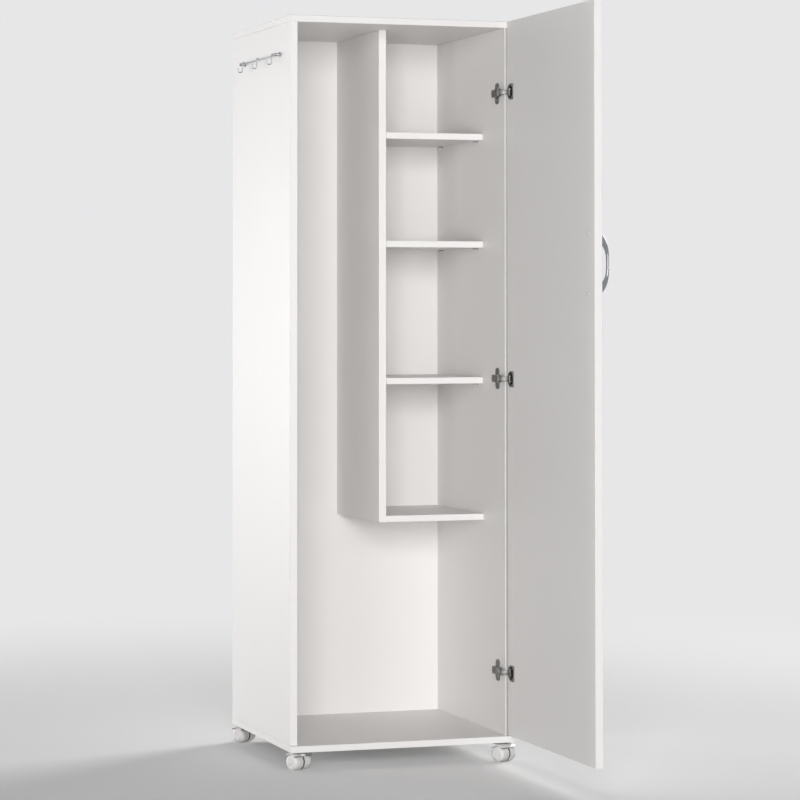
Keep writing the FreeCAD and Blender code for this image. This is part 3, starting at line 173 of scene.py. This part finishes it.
# A warm white; part of its warmth is painted light, the warm cast of light bounced in from the
# room.
WHITE = (0.80, 0.783, 0.772, 1)
# The third grey here is painted shade, for the front edge beside the open door.
GLUE_LINE, SCUFFED, EDGE_SHADE_GREY = (0.55, 0.53, 0.49, 1), (0.62, 0.6, 0.56, 1), (0.36, 0.355, 0.34, 1)
# The second colour here is painted shade, for the shadow inside the hinge cups.
FLOOR_DUST, CUP_SHADE = (0.42, 0.4, 0.37, 1), (0.02, 0.02, 0.018, 1)
# Both are painted shade: the first under a caster hood's lip and in the gap below it, the second on
# the wheels' inner faces in the gap between them.
LIP_SHADE, WHEEL_GAP_SHADE = (0.06, 0.058, 0.054, 1), (0.05, 0.048, 0.045, 1)
EDGE_STRIP = 0.0008  # how thick the strip on a board's edges is
CUP_RIM = 0.0014  # how thick the flange round a hinge cup's mouth is
CUP_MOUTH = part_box("hinge_cups")[0][0] + CUP_RIM
HOOD_LIP = 0.03146  # height of the caster hoods' lower lip above the floor
GAP_SHADE_MARK = "grime"  # the attribute of a wheel's mesh that is 1 on its inner face, where painted shade stands for the gap between the wheels


def darker(colour, share):
    """This colour at a share of its brightness."""
    return tuple(c * share for c in colour[:3]) + (1,)


def board_finish(node, grain_axis, dust_and_shade=None):
    """White melamine: a fine embossed grain, edge strips with their glue line, soft scuffs.

    Given a place along X, painted shade greys the front edge past it, for the shadow in the gap
    beside the open door.
    """
    finish = Finish(f"melamine_{node}")
    low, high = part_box(node)
    middle = [(a + b) / 2 for a, b in zip(low, high)]
    half = [(b - a) / 2 for a, b in zip(low, high)]
    # How far inside the board a point lies along each axis; the middle one of the three is
    # its distance from the nearest edge.
    inside = [half[i] - (axis - middle[i]).size() for i, axis in enumerate(finish.axes())]
    a, b, c = inside
    rim = a.low(b).high(a.high(b).low(c))
    under_face = inside[half.index(min(half))]
    strip = finish.between(under_face, EDGE_STRIP + 0.0001, EDGE_STRIP + 0.0004)
    seam = finish.between((under_face - EDGE_STRIP).size(), 0.00035, 0.0001)
    fine = [260.0, 260.0, 260.0]
    fine[grain_axis] = 9.0
    grain = finish.noise(finish.stretched(*fine), 1.0, 4, 0.62)
    pores = finish.noise(finish.stretched(*[2.2 * f for f in fine]), 1.0, 2, 0.7)
    cloud = finish.noise(finish.place, 3.1, 2, 0.5)
    wear = (1 - finish.between(rim, 0.0, 0.0035)) * finish.between(
        finish.noise(finish.place, 46.0, 4, 0.6), 0.52, 0.7
    )
    tone = finish.blend(grain * 0.75, WHITE, (0.765, 0.75, 0.74, 1))
    tone = finish.blend(cloud * 0.5, tone, (0.785, 0.765, 0.752, 1))
    tone = finish.blend(strip * 0.5, tone, (0.82, 0.805, 0.795, 1))
    tone = finish.blend(seam * 0.35, tone, GLUE_LINE)
    tone = finish.blend(wear * 0.4, tone, SCUFFED)
    # Painted shade: past the given place along X the front edge is greyed, for the shadow in the
    # gap beside the open door.
    if dust_and_shade:
        x, y = finish.axes()[:2]
        front_edge = 1 - finish.between(y, low[1], low[1] + EDGE_STRIP)
        edge_shade = finish.between(x, dust_and_shade, dust_and_shade + 0.001) * front_edge
        tone = finish.blend(edge_shade * (0.8 + cloud * 0.2), tone, EDGE_SHADE_GREY)
    finish.set("Base Color", tone)
    finish.set("Roughness", 0.34 + grain * 0.16 + wear * 0.2 + cloud * 0.06)
    finish.bump((grain * 0.7 + pores * 0.3) * (1 - strip * 0.8), 0.00012, 0.6)
    return finish.material


def metal_finish(name, colour, roughness, brushed, smudge, mouth=None):
    """Plated steel, with smudges.

    Where a mouth is given, painted shade darkens the metal past this place along X, for the shadow
    deep inside the hinge cup.
    """
    finish = Finish(name, Metallic=1.0)
    fine = finish.noise(finish.stretched(900.0, 900.0, 90.0), 1.0, 3, 0.6)
    cloud = finish.noise(finish.place, 60.0, 3, 0.6)
    spots = finish.between(finish.noise(finish.place, 420.0, 4, 0.65), 0.6, 0.72)
    tone = finish.blend(cloud * 0.5 + spots * 0.2, colour, darker(colour, 0.8))
    # Painted shade: the inside of the cup darkened past its mouth, for the shadow in the hollow.
    if mouth:
        lit_depth, dark_depth = 0.0015, 0.0055
        x = finish.axes()[0]
        deep = finish.between(x, mouth + lit_depth, mouth + dark_depth)
        tone = finish.blend(deep * 0.9, tone, CUP_SHADE)
    finish.set("Base Color", tone)
    finish.set("Roughness", roughness + fine * brushed + cloud * smudge + spots * 0.08)
    finish.bump(fine * 0.6 + cloud * 0.4, 0.00003, 0.5)
    return finish.material


def plastic_finish(name, colour, roughness, worn, lip=None, mark=None):
    """Moulded nylon or polythene: a fine spark-eroded texture and dust towards the floor.

    Painted shade darkens a lip at this height and all below it, for the shadow under the hood's rim
    and in the gap between the wheels, and darkens where the mesh's attribute of the name in mark is
    1, for the same gap's shadow.
    """
    finish = Finish(name, Subsurface_Weight=0.05)
    texture = finish.noise(finish.place, 1500.0, 2, 0.5)
    cloud = finish.noise(finish.place, 80.0, 3, 0.55)
    height = finish.axes()[2]
    dust_and_shade = (1 - finish.between(height, 0.002, 0.03)) * finish.between(cloud, 0.35, 0.7)
    tone = finish.blend(cloud * 0.4, colour, darker(colour, 0.93))
    tone = finish.blend(dust_and_shade * worn, tone, FLOOR_DUST)
    # Painted shade: the lip and everything below it darkened, for the shadow under the hood's rim
    # and between the wheels.
    if lip:
        shaded_height, lit_height = 0.0014, 0.0022
        lip_shade = 1 - finish.between(height, lip + shaded_height, lip + lit_height)
        tone = finish.blend(lip_shade * (0.75 + cloud * 0.2), tone, LIP_SHADE)
    # Painted shade: dark where the attribute marks a wheel's inner face, for the shadowed gap
    # between the wheels.
    if mark:
        grime = finish.node("ShaderNodeAttribute", {"attribute_name": mark}, output="Fac")
        tone = finish.blend(grime * (0.8 + cloud * 0.2), tone, WHEEL_GAP_SHADE)
    finish.set("Base Color", tone)
    finish.set("Roughness", roughness + texture * 0.1 + dust_and_shade * 0.2)
    finish.bump(texture, 0.00004, 0.5)
    return finish.material


def wood_finish(name, colour, dark):
    """Plain beech: short dark flecks along the grain and soft broad bands."""
    finish = Finish(name)
    along_grain = finish.noise(finish.stretched(700.0, 700.0, 60.0), 1.0, 3, 0.6)
    fleck = finish.between(along_grain, 0.5, 0.7)
    band = finish.noise(finish.stretched(90.0, 90.0, 12.0), 1.0, 3, 0.55)
    finish.set("Base Color", finish.blend(fleck * 0.6 + band * 0.3, colour, dark))
    finish.set("Roughness", 0.55 + band * 0.2)
    finish.bump(fleck, 0.0001, 0.5)
    return finish.material


def lacquer_finish(name, colour):
    """White lacquer on hardboard: a rolled, slightly dimpled coat with faint clouds."""
    finish = Finish(name)
    dimples = finish.noise(finish.place, 900.0, 2, 0.5)
    cloud = finish.noise(finish.place, 2.3, 3, 0.55)
    tone = finish.blend(cloud * 0.5 + dimples * 0.2, colour, darker(colour, 0.96))
    finish.set("Base Color", tone)
    finish.set("Roughness", 0.4 + dimples * 0.12 + cloud * 0.06)
    finish.bump(dimples, 0.00005, 0.5)
    return finish.material


def wear_material(node, material):
    """Show this node as it is, in this material."""
    piece = nodes[node]
    piece.data.materials.clear()
    piece.data.materials.append(material)


ACROSS, UPWARDS = 0, 2  # the axes that the grain of lying and of standing boards follows
for node in ("base_panel", "top_panel"):
    wear_material(node, board_finish(node, ACROSS))
for level in ("fixed", "upper", "middle", "lower"):
    wear_material(f"{level}_shelf", board_finish(f"{level}_shelf", ACROSS))
for node in ("left_side", "divider", "door_panel"):
    wear_material(node, board_finish(node, UPWARDS))
# Beside the end of the open door, the front edge of the right side is greyed with painted shade,
# for the door's shadow, but for an unshaded strip of this width along its inner face.
UNSHADED_EDGE = 0.0015
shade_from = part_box("right_side")[0][0] + UNSHADED_EDGE
wear_material("right_side", board_finish("right_side", UPWARDS, shade_from))
wear_material("back_panel", lacquer_finish("back_lacquer", (0.9, 0.883, 0.872, 1)))

chrome = metal_finish("chrome_plate", (0.3, 0.305, 0.32, 1), 0.1, 0.06, 0.08)
satin = metal_finish("satin_chrome", (0.32, 0.33, 0.34, 1), 0.22, 0.1, 0.1)
nickel = metal_finish("nickel_plate", (0.25, 0.245, 0.235, 1), 0.42, 0.12, 0.12)
cup_nickel = metal_finish("cup_nickel", (0.3, 0.295, 0.28, 1), 0.26, 0.12, 0.12, CUP_MOUTH)
zinc = metal_finish("zinc_plate", (0.4, 0.41, 0.43, 1), 0.3, 0.12, 0.12)
# Nearly black: partly painted shade, for the shadowed slot under the base where the caster plates
# sit; its roughness dulls the lamps' glints.
dull_zinc = metal_finish("dull_zinc", (0.16, 0.16, 0.165, 1), 0.6, 0.1, 0.1)
nylon = plastic_finish("hood_nylon", (0.76, 0.748, 0.738, 1), 0.4, 0.5, HOOD_LIP)
wheel_nylon = plastic_finish("wheel_nylon", (0.72, 0.71, 0.7, 1), 0.4, 0.6, mark=GAP_SHADE_MARK)
cap_white = plastic_finish("cap_polythene", (0.78, 0.768, 0.758, 1), 0.42, 0.0)
# Its grey is painted shade: white lacquer darkened so that the domed heads, which face the lamps
# more squarely, show no brighter than the door.
screw_white = plastic_finish("screw_lacquer", (0.56, 0.55, 0.542, 1), 0.6, 0.0)
beech = wood_finish("beech", (0.62, 0.42, 0.24, 1), (0.45, 0.28, 0.14, 1))

# ---------------------------------------------------------------- modelling by hand

SMOOTH_ANGLE = math.radians(32)


def put_down():
    """Leave edit mode with nothing selected."""
    if bpy.context.object and bpy.context.object.mode != "OBJECT":
        bpy.ops.object.mode_set(mode="OBJECT")
    bpy.ops.object.select_all(action="DESELECT")


def take(piece):
    """Select this piece alone."""
    put_down()
    bpy.context.view_layer.objects.active = piece
    piece.select_set(True)


def settle(name):
    """Name the new primitive and set its place into its mesh."""
    piece = bpy.context.object
    piece.name = name
    bpy.ops.object.transform_apply(location=True, rotation=True, scale=True)
    return piece


def choose(piece, kind, test):
    """In edit mode, select each FACE or EDGE that passes the test.

    The test gets a face's middle and normal, or an edge's middle.
    """
    bpy.ops.mesh.select_mode(type=kind)
    bpy.ops.mesh.select_all(action="DESELECT")
    bpy.ops.object.mode_set(mode="OBJECT")
    mesh = piece.data
    if kind == "FACE":
        for face in mesh.polygons:
            face.select = test(face.center, face.normal)
    else:
        for edge in mesh.edges:
            a, b = (mesh.vertices[i].co for i in edge.vertices)
            edge.select = test((a + b) / 2)
    bpy.ops.object.mode_set(mode="EDIT")


def applied(piece, kind, **values):
    """Add a modifier with these values and apply it."""
    take(piece)
    modifier = piece.modifiers.new(kind.lower(), kind)
    for key, value in values.items():
        setattr(modifier, key, value)
    bpy.ops.object.modifier_apply(modifier=modifier.name)


def smooth(piece, angle=SMOOTH_ANGLE):
    """Shade it smooth, but for edges sharper than this angle."""
    take(piece)
    bpy.ops.object.shade_smooth_by_angle(angle=angle)
    put_down()


def dress(piece, material, node):
    """Show a finished piece in place of this node, in its material and on the node's body."""
    piece.data.materials.clear()
    piece.data.materials.append(material)
    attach(piece, body_of[node])
    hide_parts(node)


def copied(piece, name, turn):
    """Another piece of the same shape, turned or moved by a matrix."""
    put_down()
    other = piece.copy()
    other.data = piece.data.copy()
    other.name = name
    bpy.context.scene.collection.objects.link(other)
    other.data.transform(turn)
    return other


def eased_copy(node, name, width, reshape):
    """The node's own shape, reshaped point by point if asked, with every sharp edge rounded."""
    weld, flat, sharp = 0.000002, math.radians(1), math.radians(25)
    piece = nodes[node].copy()
    piece.data = nodes[node].data.copy()
    piece.name = name
    piece.parent = None
    piece.matrix_world = Matrix()
    bpy.context.scene.collection.objects.link(piece)
    take(piece)
    bpy.ops.object.mode_set(mode="EDIT")
    bpy.ops.mesh.select_all(action="SELECT")
    bpy.ops.mesh.remove_doubles(threshold=weld)
    bpy.ops.mesh.dissolve_limited(angle_limit=flat)
    bpy.ops.object.mode_set(mode="OBJECT")
    if reshape:
        for point in piece.data.vertices:
            point.co = reshape(point.co)
    applied(
        piece, "BEVEL", width=width, segments=2, limit_method="ANGLE", angle_limit=sharp,
        miter_outer="MITER_ARC", use_clamp_overlap=True,
    )
    smooth(piece)
    return piece


# ---------------------------------------------------------------- hooks on the side rail


def middle_of(node):
    """The middle of a node's box."""
    low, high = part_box(node)
    return Vector([(a + b) / 2 for a, b in zip(low, high)])


def bent_hook(name, node):
    """Round wire, curled over the rail, then straight down, turned outwards and up at its tip."""
    wire, curl, drop, turn, tip = 0.0012, 0.00305, 0.016, 0.005, 0.005
    over_rail, end_round, end_angle = math.radians(200), 0.0005, 1.2
    rail = middle_of("hook_rail")
    rail.y = middle_of(node).y
    start = rail - Vector((curl, 0, 0))
    put_down()
    bpy.ops.mesh.primitive_circle_add(
        vertices=16, radius=wire, fill_type="NGON", location=start
    )
    hook = settle(name)
    bpy.ops.object.mode_set(mode="EDIT")
    bpy.ops.mesh.select_all(action="SELECT")
    bpy.ops.mesh.spin(steps=16, angle=over_rail, center=rail, axis=(0, -1, 0))
    choose(hook, "FACE", lambda middle, normal: (middle - start).length < wire / 4)
    bpy.ops.mesh.extrude_region_move(TRANSFORM_OT_translate={"value": (0, 0, -drop)})
    bend_middle = start + Vector((-turn, 0, -drop))
    bpy.ops.mesh.spin(steps=16, angle=math.pi, center=bend_middle, axis=(0, -1, 0))
    bpy.ops.mesh.extrude_region_move(TRANSFORM_OT_translate={"value": (0, 0, tip)})
    bpy.ops.mesh.select_all(action="SELECT")
    bpy.ops.mesh.remove_doubles(threshold=0.00001)
    bpy.ops.mesh.normals_make_consistent(inside=False)
    bpy.ops.object.mode_set(mode="OBJECT")
    applied(
        hook, "BEVEL", width=end_round, segments=3, limit_method="ANGLE", angle_limit=end_angle
    )
    smooth(hook, math.radians(50))
    return hook


# ---------------------------------------------------------------- handle


HANDLE_LOW, HANDLE_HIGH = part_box("handle")
BOW_REACH = HANDLE_HIGH[0] - HANDLE_LOW[0]
BOW_CROWN = BOW_REACH - 0.00002  # just inside the node's own reach
BOW_HALF = (HANDLE_HIGH[2] - HANDLE_LOW[2]) / 2
BOW_CLEAR, BOW_OPENING = 0.024, 0.051  # depth of the opening for the hand, and half its height
BOW_FULLNESS = 3.4  # 2 is about an arc; more brings the shoulders out


def arc_height(along, half, rise):
    """How high an arc of this half length and rise stands at a place along it."""
    radius = (half * half + rise * rise) / (2 * rise)
    return math.sqrt(max(radius * radius - along * along, 0)) + rise - radius


def fuller_bow(point):
    """Bring the shoulders of the bow out from an arc towards a flatter crown."""
    on_door = 0.00001
    out = point.x - HANDLE_LOW[0]
    along = abs(point.z - (HANDLE_LOW[2] + HANDLE_HIGH[2]) / 2)
    outer = arc_height(along, BOW_HALF, BOW_REACH)
    if out < on_door or outer <= 0:
        return point
    inner, full_inner = 0, 0
    if along < BOW_OPENING:
        inner = arc_height(along, BOW_OPENING, BOW_CLEAR)
        full_inner = BOW_CLEAR * (1 - (along / BOW_OPENING) ** BOW_FULLNESS)
    full_outer = BOW_CROWN * (1 - (along / BOW_HALF) ** BOW_FULLNESS)
    share = min((out - inner) / (outer - inner), 1)
    out = full_inner + share * (full_outer - full_inner)
    return Vector((HANDLE_LOW[0] + out, point.y, point.z))


# ---------------------------------------------------------------- casters


WHEEL_RADIUS, WHEEL_THICK = 0.0185, 0.024


def caster_wheel():
    """A nylon wheel about the X axis, its inner face at the origin: round shoulder, dished face."""
    radius, shoulder, hub = WHEEL_RADIUS, 0.0085, 0.0035
    land, dish_slope, dish = 0.0006, 0.0008, 0.0008
    boss_slope, boss, boss_land = 0.0008, 0.0006, 0.0012
    dimple_slope, dimple = 0.0003, 0.0004
    rim, recess, bore, bore_depth = 0.0007, 0.0005, 0.00258, 0.0105
    edge_round, edge_angle, inner_face = 0.00025, 0.6, 0.0002
    web = radius - shoulder - land - dish_slope - hub
    put_down()
    bpy.ops.mesh.primitive_cylinder_add(
        vertices=72, radius=radius, depth=WHEEL_THICK, location=(WHEEL_THICK / 2, 0, 0),
        rotation=(0, math.pi / 2, 0),
    )
    wheel = settle("caster_wheel")
    bpy.ops.object.mode_set(mode="EDIT")
    choose(wheel, "EDGE", lambda middle: middle.x > WHEEL_THICK - 1e-5)
    bpy.ops.mesh.bevel(offset=shoulder, segments=12, affect="EDGES")
    choose(wheel, "FACE", lambda middle, normal: normal.x > 0.999)
    for inward, outward in (
        (land, 0), (dish_slope, -dish), (web, 0),
        (boss_slope, boss), (boss_land, 0), (dimple_slope, -dimple),
    ):
        bpy.ops.mesh.inset(thickness=inward, depth=outward)
    choose(wheel, "FACE", lambda middle, normal: normal.x < -0.9)
    for inward, outward in ((rim, recess), (radius - rim - bore, -recess), (0, -bore_depth)):
        bpy.ops.mesh.inset(thickness=inward, depth=outward)
    bpy.ops.object.mode_set(mode="OBJECT")
    applied(
        wheel, "BEVEL", width=edge_round, segments=2, limit_method="ANGLE",
        angle_limit=edge_angle,
    )
    smooth(wheel)
    # Mark the inner face, which painted shade darkens for the gap between the wheels.
    grime = wheel.data.attributes.new(GAP_SHADE_MARK, "FLOAT", "POINT")
    for point, value in zip(wheel.data.vertices, grime.data):
        value.value = 1.0 if point.co.x < inner_face else 0.0
    return wheel


# ---------------------------------------------------------------- the pieces


def refine(node, name, material, width, reshape=None):
    """Show this node with its sharp edges rounded, in its finish."""
    dress(eased_copy(node, name, width, reshape), material, node)


for node, name in (
    ("hinge_plates", "mounting_plates"),
    ("hinge_arms", "pressed_arms"),
    ("hinge_links", "bent_links"),
):
    refine(node, name, nickel, 0.0003)
refine("hinge_cups", "drawn_cups", cup_nickel, 0.0003)
for node, name in (
    ("hinge_adjusting_screws", "adjusting_screws"),
    ("hinge_cup_screws", "cup_screws"),
    ("hinge_plate_screws", "plate_screws"),
    ("hinge_arm_pins", "arm_pins"),
    ("hinge_cup_pins", "cup_pins"),
):
    refine(node, name, nickel, 0.0001)
refine("handle", "bow_handle", chrome, 0.0004, fuller_bow)
refine("hook_rail", "round_rail", satin, 0.0003)
refine("rail_posts", "turned_posts", satin, 0.0003)
refine("handle_screws", "lacquered_bolts", screw_white, 0.0001)
refine("cover_caps", "pressed_caps", cap_white, 0.0002)
refine("shelf_supports", "stud_supports", zinc, 0.0003)
for place in ("front", "middle", "rear"):
    node = f"rail_hook_{place}"
    dress(bent_hook(f"wire_hook_{place}", node), satin, node)

wheel = caster_wheel()
for corner in ("front_left", "front_right", "rear_left", "rear_right"):
    caster = f"caster_{corner}"
    refine(f"{caster}_hood", f"moulded_hood_{corner}", nylon, 0.0005)
    refine(f"{caster}_plate", f"pressed_plate_{corner}", dull_zinc, 0.0003)
    for side, flip in (("left", math.pi), ("right", 0.0)):
        roll = joints[f"wheel_{corner}_{side}_roll"]
        heading = math.atan2(roll["axis"][1], roll["axis"][0]) + flip
        spot = Matrix.Translation(roll["pos_m"]) @ Matrix.Rotation(heading, 4, "Z")
        spot = spot @ Matrix.Translation((-WHEEL_THICK / 2, 0, 0))
        roller = copied(wheel, f"nylon_wheel_{corner}_{side}", spot)
        dress(roller, wheel_nylon, f"{caster}_wheel_{side}")
put_down()
wheel.select_set(True)
bpy.ops.object.delete()

for node in nodes:
    if node == "wood_dowels":
        wear_material(node, beech)
    elif node == "caster_screws":
        wear_material(node, dull_zinc)
    elif node.endswith("_axle") or node in ("carcass_screws", "rail_screws"):
        wear_material(node, zinc)

# ---------------------------------------------------------------- floor, light and camera

BACKDROP = (0.8, 0.8, 0.81, 1)
AMBIENT = (0.12, 0.12, 0.122, 1)
BLACK = (0, 0, 0, 1)


def pale_floor():
    """A matt floor that keeps the shadows and runs into the tone of the backdrop far away."""
    finish = Finish(
        "pale_floor", Roughness=0.8, Specular_IOR_Level=0.0, Emission_Strength=1.0
    )
    rays = finish.node("ShaderNodeLightPath", {}).socket.node.outputs
    seen = Wire(finish, rays["Is Camera Ray"]).high(Wire(finish, rays["Is Glossy Ray"]))
    x, y = finish.axes()[:2]
    near_by, far_off = 1.0, 3.6
    far = finish.between((x * x + y * y).root(), near_by, far_off)
    cloud = finish.noise(finish.place, 0.9, 4, 0.6)
    pale = finish.blend(cloud, (0.84, 0.84, 0.84, 1), (0.81, 0.81, 0.81, 1))
    shown = finish.blend(far, pale, BLACK)
    finish.set("Base Color", finish.blend(seen, pale, shown))
    glow = finish.blend(far, (0.09, 0.09, 0.09, 1), BACKDROP)
    finish.set("Emission Color", finish.blend(seen, BLACK, glow))
    return finish.material


bpy.ops.object.select_all(action="DESELECT")
bpy.ops.mesh.primitive_plane_add(size=40, location=(0, 0, 0))
floor = bpy.context.object
floor.name = "studio_floor"
floor.data.materials.append(pale_floor())


def pale_world():
    """Faint light from all round; the camera and shiny things see the backdrop's tone."""
    world = bpy.data.worlds.new("studio")
    world.use_nodes = True
    tree = world.node_tree
    rays = tree.nodes.new("ShaderNodeLightPath")
    seen = tree.nodes.new("ShaderNodeMath")
    seen.operation = "MAXIMUM"
    tree.links.new(rays.outputs["Is Camera Ray"], seen.inputs[0])
    tree.links.new(rays.outputs["Is Glossy Ray"], seen.inputs[1])
    tone = tree.nodes.new("ShaderNodeMix")
    tone.data_type = "RGBA"
    tone.inputs[MIX_FIRST].default_value = AMBIENT
    tone.inputs[MIX_SECOND].default_value = BACKDROP
    tree.links.new(seen.outputs[0], tone.inputs[MIX_MASK])
    tree.links.new(tone.outputs[MIX_COLOUR], tree.nodes["Background"].inputs["Color"])
    return world


def soft_box(name, place, target, width, height, watts):
    """A soft lamp of this size, turned to its target."""
    light = bpy.data.lights.new(name, "AREA")
    light.shape = "RECTANGLE"
    light.size = width
    light.size_y = height
    light.energy = watts
    lamp = bpy.data.objects.new(name, light)
    bpy.context.scene.collection.objects.link(lamp)
    lamp.location = place
    lamp.rotation_euler = (Vector(target) - Vector(place)).to_track_quat("-Z", "Y").to_euler()


def front_left_camera():
    """A long lens from the front left, a little over half the cupboard's height."""
    focal, centre_row, half = 2980.7, 232.7, 400  # in pixels of a picture 800 wide and high
    yaw, pitch, roll = math.radians(-18.407), math.radians(-1.442), math.radians(-0.031)
    lens = bpy.data.cameras.new("camera")
    lens.sensor_width = 36
    lens.lens = focal / (half * 2) * lens.sensor_width
    lens.shift_y = -(half - centre_row) / (half * 2)
    lens.clip_end = 60
    camera = bpy.data.objects.new("camera", lens)
    bpy.context.scene.collection.objects.link(camera)
    back = Vector(
        (math.sin(yaw) * math.cos(pitch), -math.cos(yaw) * math.cos(pitch), math.sin(pitch))
    )
    turn = (-back).to_track_quat("-Z", "Y").to_matrix() @ Matrix.Rotation(roll, 3, "Z")
    camera.location = (-2.15028, -6.42141, 1.03896)
    camera.rotation_euler = turn.to_euler()
    return camera


bpy.context.scene.world = pale_world()
soft_box("front_box", (-2.0, -6.6, 1.7), (0, 0, 0.8), 2.6, 2.2, 288)
soft_box("side_box", (-4.6, -4.6, 0.6), (0, 0, 0.3), 2.4, 1.1, 100)
soft_box("left_box", (-5.8, 7.2, 0.95), (-0.27, 0.3, 0.4), 3.0, 1.8, 355)
soft_box("right_box", (5.6, 3.6, 3.6), (0.27, 0.2, 0.8), 3.0, 2.6, 360)
bpy.context.scene.camera = front_left_camera()
bpy.context.scene.view_settings.view_transform = "Standard"
